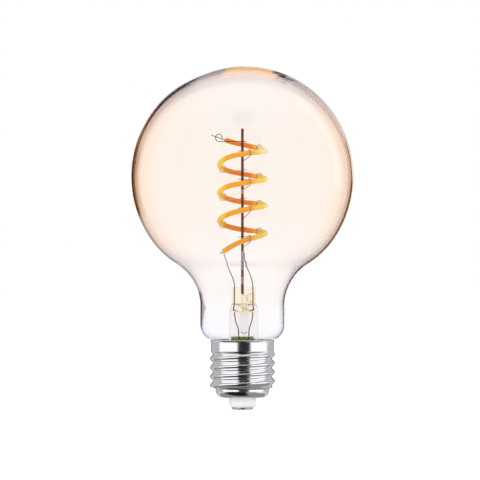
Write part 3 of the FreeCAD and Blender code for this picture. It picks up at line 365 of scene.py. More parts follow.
def light_strip():
    """The strip with rounded ends: rings middle + r (out cos a + side sin a) across its way, where r swells
    a little over each chip. Each vertex keeps the cosine of its angle from the coil's outer side, and its
    distance along the strip in millimetres."""
    degrees = np.linspace(COIL_START, COIL_END, STRIP_STEPS)
    middle = coil_line(degrees)
    way = np.gradient(middle, axis=0)
    way /= np.linalg.norm(way, axis=1, keepdims=True)
    out = middle * (1, 1, 0)
    out -= way * np.sum(out * way, axis=1, keepdims=True)
    out /= np.linalg.norm(out, axis=1, keepdims=True)
    side = np.cross(way, out)
    run = np.concatenate([[0], np.cumsum(np.linalg.norm(np.diff(middle, axis=0), axis=1))])
    end = np.minimum(run, run[-1] - run)
    radius = STRIP * (1 - (1 - np.clip(end / TIP_LENGTH, 0, 1)) ** 2 * TIP_NARROWING)
    radius *= 1 + CHIP_SWELL * np.sin(run / CHIP_PITCH * TURN)
    angle = once_round(STRIP_COLUMNS)
    rings = middle[:, None] + radius[:, None, None] * (
        out[:, None] * np.cos(angle)[None, :, None] + side[:, None] * np.sin(angle)[None, :, None])
    piece = skin("light_strip", rings, "phosphor", ["filament"], sharp=STRIP_CREASE)
    store(piece, "strip_side", np.append(np.tile(np.cos(angle), STRIP_STEPS), [0, 0]))
    store(piece, "strip_run", np.append(np.repeat(run / MM, STRIP_COLUMNS), [0, run[-1] / MM]))
    return piece


ROD_EDGE = 0.12 * MM
ROD_COLUMNS = 40


def centre_rod():
    """The rod with a small round at each end."""
    low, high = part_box("centre_rod")
    radius, edge = high.x, ROD_EDGE
    outline = np.vstack([arc((radius - edge, low.z + edge), edge, -80, 0, 5),
                         line((radius, low.z + edge), (radius, high.z - edge), 30)[1:],
                         arc((radius - edge, high.z - edge), edge, 0, 80, 5)[1:]])
    return skin("centre_rod_bar", turned(outline, ROD_COLUMNS), "rod_metal", ["centre_rod"])


# Screw cap: a drawn sheet with a rolled thread.
CAP_WALL = 0.25 * MM
CAP_HOLE = 4.9 * MM
CORNER = 3.15 * MM
CORNER_REACH = 10.85 * MM
THREAD_MEAN = 12.6 * MM
THREAD_DEPTH = 1.2 * MM
THREAD_PITCH = 3.629 * MM
CREST_HEIGHT = 11.56 * MM
COLLAR = 12.75 * MM
COLLAR_LENGTH = 4.15 * MM
RIM_FLARE = 0.2 * MM
RIM_FLARE_START, RIM_FLARE_END = CAP_TOP - 0.5 * MM, CAP_TOP - 0.1 * MM
THREAD_FOOT = (8.3 * MM, 9.3 * MM)
THREAD_FADE = 1.5 * MM
CAP_COLUMNS = 216


def cap_rings(inset):
    """Rings up the cap's face: a flat, a rounded corner, the thread and the collar. The thread adds
    depth cos(2 pi (z - crest) / pitch - a), which fades in and out; inset moves the face in."""
    bottom, corner_end, end = cap_low.z, CORNER_REACH - CORNER, CAP_TOP - COLLAR_LENGTH
    flat = line((CAP_HOLE, bottom), (corner_end, bottom), 8)
    corner = arc((corner_end, bottom + CORNER), CORNER, -90, 0, 26)[1:]
    height = np.linspace(bottom + CORNER, end, 118)[1:]
    swell, settle = ramp(height, *THREAD_FOOT), ramp(end - height, 0, THREAD_FADE)
    body = np.stack([CORNER_REACH + (THREAD_MEAN - CORNER_REACH) * swell
                     + (COLLAR - THREAD_MEAN) * (1 - settle), height], axis=-1)
    top = np.linspace(end, CAP_TOP, 20)[1:]
    collar = np.stack([COLLAR + RIM_FLARE * ramp(top, RIM_FLARE_START, RIM_FLARE_END), top], axis=-1)
    outline = np.vstack([flat, corner, body, collar])
    depth = np.zeros(len(outline))
    depth[len(flat) + len(corner):len(flat) + len(corner) + len(body)] = THREAD_DEPTH / 2 * swell * settle
    angle = once_round(CAP_COLUMNS)
    phase = TURN * (outline[:, 1, None] - CREST_HEIGHT) / THREAD_PITCH - angle
    radius, height = outline[:, 0, None] + depth[:, None] * np.cos(phase), outline[:, 1, None] + 0 * angle
    run, climb = np.gradient(radius, axis=0), np.gradient(height, axis=0)
    length = np.hypot(run, climb)
    radius, height = radius - inset * climb / length, height + inset * run / length
    return np.stack([radius * np.cos(angle), radius * np.sin(angle), height], axis=-1)


def screw_cap():
    """The sheet's outer face, its rim, its inner face and the edge of its hole, as one closed loop."""
    outside, inside = cap_rings(0), cap_rings(CAP_WALL)
    rim = (outside[-1:] + inside[-1:]) / 2
    rim[..., 2] = CAP_TOP
    return skin("screw_cap_sheet", np.vstack([outside, rim, inside[::-1]]), "cap_metal", ["cap_shell"],
                looped=True)


STUB, STUB_TIP, STUB_BORE = 5.5 * MM, 4.4 * MM, 1.02 * MM
STUB_EDGE, STUB_TIP_RISE = 0.9 * MM, 0.35 * MM
STUB_SIDE = 1.2 * MM
SHELF_GAP, SHELF_RISE = 0.02 * MM, 0.27 * MM
BORE_EDGE = 0.1 * MM
STUB_COLUMNS = 96


def plastic_stub():
    """The insulator: a stub with a rounded edge, moulded round the cap's hole and bored for the
    contact."""
    low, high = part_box("insulator")
    waist, shelf = CAP_HOLE - SHELF_GAP, cap_low.z
    outline = np.vstack([
        line((STUB_BORE, low.z), (STUB_TIP, low.z), 6),
        arc((STUB - STUB_EDGE, low.z + STUB_EDGE + STUB_TIP_RISE), STUB_EDGE, -50, 0, 10),
        line((STUB, shelf - STUB_SIDE), (STUB, shelf - SHELF_GAP), 4),
        line((waist, shelf - SHELF_GAP), (waist, shelf + SHELF_RISE), 3),
        line((high.x, shelf + SHELF_RISE), (high.x, high.z), 3),
        line((STUB_BORE, high.z), (STUB_BORE, low.z + BORE_EDGE), 4)])
    return skin("stub_plastic", turned(outline, STUB_COLUMNS), "white_plastic", ["insulator"], looped=True)


CONTACT_FLAT, CONTACT_START, CONTACT_RIM = 3.0 * MM, 0.2 * MM, 4.3 * MM
CONTACT_ROUND, CONTACT_ROUND_RISE = 0.45 * MM, 0.47 * MM
CONTACT_EDGE, CONTACT_TOP = 0.2 * MM, 0.88 * MM
SHANK, SHANK_EDGE = 1.0 * MM, 0.1 * MM


def contact_rivet():
    """The centre contact: a flat middle, a shallow dome, a rolled edge and the rivet's shank."""
    low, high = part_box("centre_contact")
    outline = np.vstack([
        line((CONTACT_START, low.z), (CONTACT_FLAT, low.z), 6),
        arc((CONTACT_RIM - CONTACT_ROUND, low.z + CONTACT_ROUND_RISE), CONTACT_ROUND, -70, 0, 8),
        arc((CONTACT_RIM - CONTACT_EDGE, CONTACT_TOP - CONTACT_EDGE), CONTACT_EDGE, 0, 90, 6),
        line((SHANK, CONTACT_TOP), (SHANK, high.z - SHANK_EDGE), 5),
        arc((SHANK - SHANK_EDGE, high.z - SHANK_EDGE), SHANK_EDGE, 0, 85, 4)])
    return skin("contact_rivet", turned(outline, STUB_COLUMNS), "contact_metal", ["centre_contact"])


# Shader helpers.

def put(socket, value):
    """Links a socket to an output, or sets its own value."""
    if isinstance(value, bpy.types.NodeSocket):
        socket.id_data.links.new(value, socket)
    else:
        socket.default_value = value


def maths(tree, operation, first, second=0.0):
    """One operation on one or two numbers."""
    node = tree.nodes.new("ShaderNodeMath")
    node.operation = operation
    put(node.inputs[0], first)
    put(node.inputs[1], second)
    return node.outputs[0]


def step(tree, value, low, high):
    """A smooth step of a number from 0 at low to 1 at high."""
    node = tree.nodes.new("ShaderNodeMapRange")
    node.interpolation_type = "SMOOTHSTEP"
    put(node.inputs["Value"], value)
    put(node.inputs["From Min"], low)
    put(node.inputs["From Max"], high)
    return node.outputs["Result"]


def blend(tree, factor, first, second):
    """A colour part of the way from first to second."""
    node = tree.nodes.new("ShaderNodeMix")
    node.data_type = "RGBA"
    put(node.inputs["Factor"], factor)
    put(node.inputs["A"], first)
    put(node.inputs["B"], second)
    return node.outputs["Result"]


def noise(tree, vector, scale, detail):
    """Soft noise between 0 and 1."""
    node = tree.nodes.new("ShaderNodeTexNoise")
    node.inputs["Scale"].default_value = scale
    node.inputs["Detail"].default_value = detail
    put(node.inputs["Vector"], vector)
    return node.outputs["Fac"]


def object_point(tree):
    """The surface point in the object's own frame, and its three parts."""
    coordinate = tree.nodes.new("ShaderNodeTexCoord").outputs["Object"]
    parts = tree.nodes.new("ShaderNodeSeparateXYZ")
    put(parts.inputs[0], coordinate)
    return coordinate, parts.outputs


def times(tree, first, second):
    """The product of two numbers, or the place where two masks both hold."""
    return maths(tree, "MULTIPLY", first, second)


def within(tree, value, low, high, soft):
    """1 where a number lies from low to high, with both ends softened."""
    above = step(tree, value, low - soft, low + soft)
    return times(tree, above, step(tree, value, high + soft, high - soft))


def stored(tree, name):
    """A number kept for each vertex."""
    node = tree.nodes.new("ShaderNodeAttribute")
    node.attribute_name = name
    return node.outputs["Fac"]


def edge_on(tree):
    """0 where the surface is seen square on and 1 where it is seen edge on."""
    weight = tree.nodes.new("ShaderNodeLayerWeight")
    weight.inputs["Blend"].default_value = 0.5
    return weight.outputs["Facing"]


def colour_ramp(tree, value, stops):
    """A ramp with its own stops, each a place and a colour."""
    node = tree.nodes.new("ShaderNodeValToRGB")
    put(node.inputs[0], value)
    elements = node.color_ramp.elements
    while len(elements) < len(stops):
        elements.new(1.0)
    for element, (place, tone) in zip(elements, stops):
        element.position = place
        element.color = (*tone, 1.0)
    return node.outputs[0]


def grey(level):
    """A neutral colour, given as a linear level."""
    return (level, level, level, 1.0)


def colour(red, green, blue):
    """A colour given as it looks on screen, from 0 to 255, turned to a shader's linear one."""
    parts = np.array([red, green, blue]) / 255
    linear = np.where(parts <= 0.04045, parts / 12.92, ((parts + 0.055) / 1.055) ** 2.4)
    return (*linear.tolist(), 1.0)


def new_group(name, inputs, outputs):
    """An empty node group with named inputs, given as kind and default, and named outputs."""
    group = bpy.data.node_groups.new(name, "ShaderNodeTree")
    for label, (kind, default) in inputs.items():
        socket = group.interface.new_socket(label, in_out="INPUT", socket_type=kind)
        socket.default_value = default
    for label, kind in outputs.items():
        group.interface.new_socket(label, in_out="OUTPUT", socket_type=kind)
    return group, group.nodes.new("NodeGroupInput").outputs, group.nodes.new("NodeGroupOutput").inputs


MOTTLE_STEP = (0.35, 0.7)


def mottle_group():
    """Colour, roughness and height that vary a little over a surface, as moulded and painted ones do."""
    group, given, made = new_group(
        "mottle",
        {"Colour": ("NodeSocketColor", grey(0.5)), "Shade": ("NodeSocketColor", grey(0.4)),
         "Scale": ("NodeSocketFloat", 400.0), "Roughness": ("NodeSocketFloat", 0.4),
         "Spread": ("NodeSocketFloat", 0.1)},
        {"Colour": "NodeSocketColor", "Roughness": "NodeSocketFloat", "Height": "NodeSocketFloat"})
    point, _ = object_point(group)
    grain = group.nodes.new("ShaderNodeTexNoise")
    put(grain.inputs["Vector"], point)
    put(grain.inputs["Scale"], given["Scale"])
    level = grain.outputs["Fac"]
    put(made["Colour"], blend(group, step(group, level, *MOTTLE_STEP), given["Colour"], given["Shade"]))
    varied = times(group, maths(group, "SUBTRACT", level, 0.5), given["Spread"])
    put(made["Roughness"], maths(group, "ADD", given["Roughness"], varied))
    put(made["Height"], level)
    return group


RING_STRETCH, SMEAR_SCALE = (60, 60, 5200), 320.0


def rubbed_group():
    """Fine rings of a lathe or a drawing die round the axis, and faint smears: a roughness and a height."""
    group, given, made = new_group(
        "rubbed",
        {"Roughness": ("NodeSocketFloat", 0.15), "Smear": ("NodeSocketFloat", 0.08)},
        {"Roughness": "NodeSocketFloat", "Height": "NodeSocketFloat"})
    point, _ = object_point(group)
    stretched = group.nodes.new("ShaderNodeMapping")
    stretched.inputs["Scale"].default_value = RING_STRETCH
    put(stretched.inputs["Vector"], point)
    rings = noise(group, stretched.outputs[0], 1.0, 2.0)
    smears = noise(group, point, SMEAR_SCALE, 4.0)
    put(made["Roughness"], maths(group, "ADD", given["Roughness"], times(group, smears, given["Smear"])))
    put(made["Height"], rings)
    return group


FADE_WANDER, FADE_SCALE = 1.2 * MM, 60.0


def height_fade_group():
    """0 below one height and 1 above another, with a slightly uneven edge."""
    group, given, made = new_group(
        "height_fade",
        {"Low": ("NodeSocketFloat", 0.0), "High": ("NodeSocketFloat", 1.0),
         "Lean": ("NodeSocketFloat", 0.0)},
        {"Mask": "NodeSocketFloat"})
    point, parts = object_point(group)
    leaned = maths(group, "ADD", parts["Z"], times(group, parts["X"], given["Lean"]))
    uneven = maths(group, "SUBTRACT", noise(group, point, FADE_SCALE, 1.0), 0.5)
    wander = times(group, uneven, FADE_WANDER)
    put(made["Mask"], step(group, maths(group, "ADD", leaned, wander), given["Low"], given["High"]))
    return group


GROUPS = {"mottle": mottle_group(), "rubbed": rubbed_group(), "height_fade": height_fade_group()}


def placed(tree, name, **values):
    """A shared effect in a material, with its own values."""
    node = tree.nodes.new("ShaderNodeGroup")
    node.node_tree = GROUPS[name]
    for label, value in values.items():
        put(node.inputs[label], value)
    return node.outputs


def material(name, **settings):
    """A material with a Principled shader, and its tree and shader for more to be linked."""
    made = bpy.data.materials.new(name)
    made.use_nodes = True
    shader = made.node_tree.nodes["Principled BSDF"]
    for label, value in settings.items():
        shader.inputs[label.replace("_", " ")].default_value = value
    return made, made.node_tree, shader


def bumped(tree, shader, height, strength, distance):
    """Feeds a height to the shader's normal."""
    bump = tree.nodes.new("ShaderNodeBump")
    bump.inputs["Strength"].default_value = strength
    bump.inputs["Distance"].default_value = distance
    put(bump.inputs["Height"], height)
    put(shader.inputs["Normal"], bump.outputs[0])


GRAIN_DEPTH, RING_DEPTH = 0.05 * MM, 0.01 * MM


def mottled(name, main, shade, scale, roughness, spread, bump):
    """A material whose colour and roughness vary a little."""
    made, tree, shader = material(name)
    effect = placed(tree, "mottle", Colour=main, Shade=shade, Scale=scale, Roughness=roughness,
                    Spread=spread)
    put(shader.inputs["Base Color"], effect["Colour"])
    put(shader.inputs["Roughness"], effect["Roughness"])
    bumped(tree, shader, effect["Height"], bump, GRAIN_DEPTH)
    return made


def rubbed(name, tone, roughness, smear, bump, **settings):
    """A bright metal with fine rings and faint smears."""
    made, tree, shader = material(name, **{"Base_Color": tone, "Metallic": 1.0, **settings})
    effect = placed(tree, "rubbed", Roughness=roughness, Smear=smear)
    put(shader.inputs["Roughness"], effect["Roughness"])
    bumped(tree, shader, effect["Height"], bump, RING_DEPTH)
    return made


# Finishes.

# The globe's tint: colours from where the glass is seen square on to where it is seen edge on, how
# strong they are at heights in mm, and where they end at the neck. Turns are where a tone starts and
# is full, from 0, seen square on, to 1, seen edge on.
AMBER_STOPS = (
    (0.00, (0.995, 0.955, 0.920)), (0.13, (0.995, 0.950, 0.912)), (0.33, (0.995, 0.925, 0.880)),
    (0.44, (0.995, 0.905, 0.810)), (0.51, (0.995, 0.865, 0.750)), (0.57, (0.995, 0.835, 0.700)),
    (0.63, (0.990, 0.800, 0.640)), (0.70, (0.985, 0.750, 0.570)), (0.80, (0.960, 0.600, 0.370)),
    (0.90, (0.880, 0.330, 0.080)), (1.00, (0.820, 0.260, 0.050)))
TINT_HEIGHTS = (
    (42, 0.3), (52, 0.3), (60, 0.35), (70, 0.75), (82, 1.0), (112, 1.0), (124, 0.7), (131, 0.4), (139, 0.4))
TINT_STOPS = tuple((height * MM / envelope_high.z, (level, level, level)) for height, level in TINT_HEIGHTS)
TINT_FOOT = {"Low": 40.8 * MM, "High": 44.4 * MM, "Lean": 0.06}
CLEAR_FRONT, CLEAR_RIM, CLEAR_TURN = colour(254, 253, 254), colour(222, 228, 246), (0.3, 0.9)

# The stem's tones, one of them a dark painted shade in the side hole, and the heights between which its
# tube turns creamy.
STEM_CLEAR, STEM_CREAM = colour(250, 250, 250), colour(253, 246, 228)
STEM_EDGE, PRESS_STAIN, HOLE_PAINTED_SHADE = colour(222, 222, 224), colour(150, 122, 84), colour(58, 42, 30)
STEM_TURN, HOLE_TURN = (0.62, 0.98), (0.15, 0.6)
CREAM_START, CREAM_END = TUBE_TOP - 4.0 * MM, PRESS_BOTTOM + 0.5 * MM

# The strip's tones, their shares, and where they start and are full: on the cosine of the angle from
# the coil's outer side, on a chip's wave, and at places across and up the bulb.
STRIP_INNER, STRIP_OUTER, STRIP_EDGE = colour(246, 134, 0), colour(255, 176, 18), colour(255, 206, 50)
# The brighter yellow tone is a painted glow, for light coming through the strip at the coil's sides, and
# the palest tone is a painted highlight.
STRIP_CHIP, STRIP_PAINTED_GLOW, STRIP_PAINTED_HIGHLIGHT = colour(240, 140, 8), colour(255, 226, 84), colour(255, 243, 200)
EDGE_SHARE, CHIP_SHARE, GLOW_SHARE, HIGHLIGHT_SHARE = 0.55, 0.3, 0.8, 0.85
OUTER_COSINE, EDGE_COSINE, CHIP_COSINE, CHIP_WAVE = (-0.6, 0.1), (0.55, 0.15), (0.6, 0.98), (0.1, 0.9)
# Where the painted glow lies across the coil, and where the painted highlight lies.
GLOW_LEFT, GLOW_RIGHT = (-6.0 * MM, -8.6 * MM), (2.8 * MM, 6.4 * MM)
HIGHLIGHT_HEIGHT, HIGHLIGHT_REACH, HIGHLIGHT_SHIFT = (99 * MM, 106 * MM), (7.6 * MM, 10.6 * MM), 2.4 * MM
SILICONE_GRAIN = 1800.0

# The rod's tones, and the heights between which it is grey.
ROD_DARK, ROD_BROWN, ROD_GREY = colour(62, 26, 0), colour(128, 64, 0), colour(168, 160, 156)
ROD_GREY_BANDS = ((57.6 * MM, 64.0 * MM), (51.2 * MM, 54.2 * MM), (87.6 * MM, 89.2 * MM))
ROD_FADE, ROD_GRAIN = 0.3 * MM, 260.0


def amber_glass():
    """Clear blown glass. Its amber tint is deepest round the middle and where it is seen edge on, thins
    towards the top and fades out at the neck."""
    made, tree, shader = material("amber_glass", Transmission_Weight=1.0, Roughness=0.0, IOR=1.45)
    tint = colour_ramp(tree, edge_on(tree), AMBER_STOPS)
    bare = blend(tree, step(tree, edge_on(tree), *CLEAR_TURN), CLEAR_FRONT, CLEAR_RIM)
    height = object_point(tree)[1]["Z"]
    strength = colour_ramp(tree, maths(tree, "DIVIDE", height, envelope_high.z), TINT_STOPS)
    above_foot = placed(tree, "height_fade", **TINT_FOOT)["Mask"]
    put(shader.inputs["Base Color"], blend(tree, times(tree, strength, above_foot), bare, tint))
    return made


def stem_clear():
    """The stem's glass: clear in the tube and creamy in the press, where the heat has stained it. It is
    darker where it is seen edge on, in the press more than in the tube, and most round the side hole, whose
    walls take a dark painted shade where they are seen edge on."""
    made, tree, shader = material("stem_clear", Transmission_Weight=1.0, Roughness=0.0, IOR=1.16)
    cream = placed(tree, "height_fade", Low=CREAM_START, High=CREAM_END)["Mask"]
    press = placed(tree, "height_fade", Low=TUBE_TOP, High=PRESS_BOTTOM)["Mask"]
    tone = blend(tree, cream, STEM_CLEAR, STEM_CREAM)
    rim = blend(tree, press, STEM_EDGE, PRESS_STAIN)
    tone = blend(tree, step(tree, edge_on(tree), *STEM_TURN), tone, rim)
    # Painted shade: the side hole's walls turn dark brown where they are seen edge on.
    hole_shade = times(tree, stored(tree, "hole_wall"), step(tree, edge_on(tree), *HOLE_TURN))
    put(shader.inputs["Base Color"], blend(tree, hole_shade, tone, HOLE_PAINTED_SHADE))
    return made


def phosphor():
    """Yellow-orange silicone over a row of small chips: amber outside, orange inside, and a painted glow of
    brighter yellow at the coil's left and right, for light that comes through it. The right-hand ends carry
    a pale painted highlight, which reaches further in near the top."""
    made, tree, shader = material("phosphor", Roughness=0.5, Specular_IOR_Level=0.08)
    across, run = stored(tree, "strip_side"), stored(tree, "strip_run")
    sideways = maths(tree, "ABSOLUTE", across)
    point, parts = object_point(tree)
    tone = blend(tree, step(tree, across, *OUTER_COSINE), STRIP_INNER, STRIP_OUTER)
    tone = blend(tree, times(tree, step(tree, sideways, *EDGE_COSINE), EDGE_SHARE), tone, STRIP_EDGE)
    chips = maths(tree, "SINE", times(tree, run, TURN * MM / CHIP_PITCH))
    centred = times(tree, step(tree, sideways, *CHIP_COSINE), CHIP_SHARE)
    tone = blend(tree, times(tree, step(tree, chips, *CHIP_WAVE), centred), tone, STRIP_CHIP)
    # Painted glow: brighter yellow at the coil's left and right, for light coming through the strip.
    left, right = step(tree, parts["X"], *GLOW_LEFT), step(tree, parts["X"], *GLOW_RIGHT)
    glow_sides = maths(tree, "MAXIMUM", left, right)
    tone = blend(tree, times(tree, glow_sides, GLOW_SHARE), tone, STRIP_PAINTED_GLOW)
    # Painted highlight: pale yellow-white at the coil's right-hand ends, reaching further in near the top.
    shift = times(tree, step(tree, parts["Z"], *HIGHLIGHT_HEIGHT), HIGHLIGHT_SHIFT)
    pale = step(tree, maths(tree, "ADD", parts["X"], shift), *HIGHLIGHT_REACH)
    tone = blend(tree, times(tree, pale, HIGHLIGHT_SHARE), tone, STRIP_PAINTED_HIGHLIGHT)
    put(shader.inputs["Base Color"], tone)
    bumped(tree, shader, noise(tree, point, SILICONE_GRAIN, 2.0), 0.25, 0.03 * MM)
    return made


def rod_finish():
    """The rod: a mottled dark brown, with grey bands at three heights."""
    made, tree, shader = material("rod_finish", Specular_IOR_Level=0.05)
    point, parts = object_point(tree)
    tone = blend(tree, noise(tree, point, ROD_GRAIN, 3.0), ROD_DARK, ROD_BROWN)
    for low, high in ROD_GREY_BANDS:
        tone = blend(tree, within(tree, parts["Z"], low, high, ROD_FADE), tone, ROD_GREY)
    put(shader.inputs["Base Color"], tone)
    effect = placed(tree, "rubbed", Roughness=0.3, Smear=0.2)
    put(shader.inputs["Roughness"], effect["Roughness"])
    bumped(tree, shader, effect["Height"], 0.2, RING_DEPTH)
    return made


WIRE = rubbed("drawn_wire", colour(156, 150, 142), 0.3, 0.12, 0.1)
SUPPORT_WIRE = rubbed("support_wire", colour(172, 136, 96), 0.35, 0.12, 0.1, Metallic=0.5)
GILT_WIRE = rubbed("gilt_wire", colour(236, 190, 96), 0.35, 0.12, 0.1, Metallic=0.4)
PIN_METAL = rubbed("browned_pin", colour(62, 36, 12), 0.4, 0.15, 0.1, Metallic=0.2)
FINISHES = {
    "rod_metal": rod_finish(),
    "wire_metal": WIRE,
    "seal_metal": rubbed("copper_clad", colour(150, 78, 62), 0.35, 0.15, 0.1),
    "phosphor": phosphor(),
    "amber_glass": amber_glass(),
    "clear_glass": stem_clear(),
    "cap_metal": rubbed("bright_nickel", colour(251, 252, 254), 0.11, 0.09, 0.05),
    "white_plastic": mottled(
        "white_plastic", colour(252, 252, 252), colour(248, 248, 249), 300.0, 0.5, 0.08, 0.04),
    "contact_metal": rubbed("contact_nickel", colour(205, 203, 198), 0.22, 0.15, 0.1),
    "cement": mottled("basing_cement", colour(214, 204, 184), colour(188, 176, 152), 900.0, 0.85, 0.1, 0.5),
    "board": mottled("solder_mask", colour(182, 192, 60), colour(150, 164, 44), 700.0, 0.4, 0.1, 0.1),
    "can": mottled("can_sleeve", colour(46, 50, 60), colour(38, 42, 52), 500.0, 0.3, 0.1, 0.05),
    "resistor_body": mottled(
        "resistor_paint", colour(120, 168, 176), colour(106, 154, 162), 900.0, 0.45, 0.1, 0.2),
    "black_plastic": mottled(
        "black_plastic", colour(36, 36, 38), colour(48, 48, 50), 1500.0, 0.55, 0.1, 0.3),
    "ferrite": mottled("ferrite", colour(66, 66, 70), colour(54, 54, 58), 1400.0, 0.6, 0.1, 0.4),
    "copper": rubbed("winding_copper", colour(208, 118, 70), 0.3, 0.1, 0.6),
    "solder": rubbed("solder", colour(206, 206, 206), 0.2, 0.1, 0.1),
}

# Every third support wire is gilt; the top pin's holder is browned like the pin.
GILT_EVERY = 3
new_pieces = [glass_envelope(), stem_glass(), exhaust_glass(), light_strip(), centre_rod(), screw_cap(),
              plastic_stub(), contact_rivet()]
for piece in new_pieces:
    piece.data.materials.append(FINISHES[piece["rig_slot"]])
for entry in frame["record"]["subparts"]:
    node = entry["node"]
    finish = FINISHES[entry["material_slot"]]
    if node in ("filament_pin_top", "support_wire_01"):
        finish = PIN_METAL
    elif node.startswith("support"):
        finish = GILT_WIRE if int(node[-2:]) % GILT_EVERY == 1 else SUPPORT_WIRE
    elif node.startswith("outer_lead"):
        finish = FINISHES["seal_metal"]
    for holder in frame["nodes"][node].material_slots:
        holder.material = finish


# Studio: a white surround, two lamps, and softboxes and cards that only reflections and glass see.

AMBIENT = 0.72
INTERIOR = 1.38
BACKDROP = 1.03
AXIS_GAP = 0.0001

# The room that rough metal mirrors: levels, and where they hold. Sides are degrees round the bulb from
# the front, and off is degrees off the view; the rest are parts of a direction. Three numbers are two
# ends and how soft they are, and two are where a step starts and ends.
ROOM_LEVEL, CEILING_LEVEL, CEILING = 0.47, 0.16, (0.6, 0.85)
SOFTBOX_LEVEL, SOFTBOX_HEIGHT, SOFTBOX_SIDES = 1.05, (-0.5, 0.72, 0.1), ((-93, -17, 4.0), (29, 103, 5.0))
GAP_LEVEL, GAP_SIDE, GAP_TOP = 0.025, (-17, 29, 5.0), (0.8, 0.7)
GROUND_LEVEL, GROUND = 0.75, (-0.28, -0.36)
LOW_LEVEL, LOW_DEPTH, LOW_REACH = 0.26, (-0.36, -0.46), (-0.95, 0.85, 0.06)
BLACK_LEVEL, BLACK_DEPTH, BLACK_FRONT, BLACK_REACH = 0.01, (-0.27, -0.37), (0.1, -0.1), (-0.92, 0.30, 0.12)
BEHIND_LEVEL, BEHIND_OFF, BEHIND_ACROSS = 0.06, (24, 18), (0.2, 0.32)

# What clear glass shows: dark in front and pale behind when it mirrors, the backdrop when it is looked
# through, then the cards at its rim and a strip light at the right, both in degrees. The strip light is
# for rays that crossed at most two glass surfaces. Rays that crossed over four find the backdrop alone.
MIRROR_FRONT, MIRROR_BACK, MIRROR_STEP = 0.05, 0.9, (-0.5, 0.35)
STRAIGHT_REACH = 10
SIDE_STRIP, SIDE_OFF, SIDE_TURN, SIDE_LIMIT = 1.5, (59, 70, 3.0), (32, 96, 5), (2.6, 2.4)
CARD_LIMIT = (4.4, 4.6)

# Cards behind the glass: angles round the view from the top, clockwise, and how soft those ends are;
# angles off the view, and how soft those are; and a tone. Light that comes straight through finds their
# outer ends further off by the straight reach.
RIM_CARDS = (
    (-60, 56, 16, 8.8, 40, 1.2, (0.91, 0.86, 0.87, 1)),
    (-97, -62, 5, 5.8, 9.8, 0.6, (0.48, 0.28, 0.16, 1)),
    (-150, -108, 8, 11.0, 27, 0.8, grey(0.34)),
    (-110, -62, 5, 9.8, 32, 0.6, (0.05, 0.025, 0.012, 1)),
    (-64, -22, 3, 16.0, 31, 0.8, (0.02, 0.012, 0.01, 1)),
    (-22, -9, 1.5, 21.0, 32, 1.0, (0.50, 0.44, 0.42, 1)),
    (-9, 15.5, 0.8, 19.0, 36, 1.0, (1.45, 0.88, 0.38, 1)),
    (15.5, 22.5, 0.8, 15.5, 34, 0.8, (0.03, 0.02, 0.01, 1)),
    (23, 66, 3, 25.0, 28, 1.0, (0.24, 0.20, 0.20, 1)),
    (66, 92, 4, 20.0, 27, 0.8, (0.03, 0.015, 0.01, 1)),
    (88, 150, 5, 14.0, 28, 0.8, (0.05, 0.03, 0.02, 1)),
)
FLOOR_REACH, FLOOR_LEVEL = 3.0, 0.9
FLOOR_LIGHT, FLOOR_GLOW = 1.12, 0.8

# Each lamp's name, place, width, height and power.
LAMPS = (
    ("left_softbox", (-0.7, -0.5, 0.6), 0.6, 0.8, 5.0),
    ("right_softbox", (0.8, -0.5, 0.5), 0.6, 0.8, 4.0),
)
CAMERA_AWAY, CAMERA_SIDE, CAMERA_HEIGHT = 1.5, -0.98 * MM, 68.8 * MM
LENS, LENS_AWAY, SENSOR = 120.0, 0.650, 36.0


def angle_of(tree, operation, first, second=0.0):
    """An arc function's angle in degrees."""
    return times(tree, maths(tree, operation, first, second), 360 / TURN)


def room_colour(tree, x, y, z, off, across):
    """The room that rough metal mirrors: grey, with a dim ceiling, two softboxes, a dark gap between them,
    a pale ground with a grey card on it, a black card low in front, and dark cards at both sides of the
    backdrop."""
    around = angle_of(tree, "ARCTAN2", x, times(tree, y, -1))
    room = blend(tree, step(tree, z, *CEILING), grey(ROOM_LEVEL), grey(CEILING_LEVEL))
    level = within(tree, z, *SOFTBOX_HEIGHT)
    for sides in SOFTBOX_SIDES:
        room = blend(tree, times(tree, within(tree, around, *sides), level), room, grey(SOFTBOX_LEVEL))
    gap = times(tree, within(tree, around, *GAP_SIDE), step(tree, z, *GAP_TOP))
    room = blend(tree, gap, room, grey(GAP_LEVEL))
    room = blend(tree, step(tree, z, *GROUND), room, grey(GROUND_LEVEL))
    low_card = times(tree, step(tree, z, *LOW_DEPTH), within(tree, x, *LOW_REACH))
    room = blend(tree, low_card, room, grey(LOW_LEVEL))
    front = times(tree, step(tree, z, *BLACK_DEPTH), step(tree, y, *BLACK_FRONT))
    room = blend(tree, times(tree, front, within(tree, x, *BLACK_REACH)), room, grey(BLACK_LEVEL))
    beside = step(tree, maths(tree, "ABSOLUTE", across), *BEHIND_ACROSS)
    return blend(tree, times(tree, step(tree, off, *BEHIND_OFF), beside), room, grey(BEHIND_LEVEL))


def glass_colour(tree, rays, y, off, turn):
    """What clear glass mirrors and shows: the front and back, the rim's cards and the strip light."""
    crossing, crossed = rays["Is Transmission Ray"], rays["Transmission Depth"]
    mirrored = blend(tree, step(tree, y, *MIRROR_STEP), grey(MIRROR_FRONT), grey(MIRROR_BACK))
    clear = blend(tree, crossing, mirrored, grey(BACKDROP))
    nearer = maths(tree, "SUBTRACT", off, times(tree, crossing, STRAIGHT_REACH))
    for first, last, soft, near, far, edge, tone in RIM_CARDS:
        started = step(tree, off, near - edge, near + edge)
        depth = times(tree, started, step(tree, nearer, far + edge, far - edge))
        clear = blend(tree, times(tree, within(tree, turn, first, last, soft), depth), clear, tone)
    strip = times(tree, within(tree, off, *SIDE_OFF), within(tree, turn, *SIDE_TURN))
    strip = times(tree, strip, step(tree, crossed, *SIDE_LIMIT))
    clear = blend(tree, strip, clear, grey(SIDE_STRIP))
    return blend(tree, step(tree, crossed, *CARD_LIMIT), clear, grey(BACKDROP))


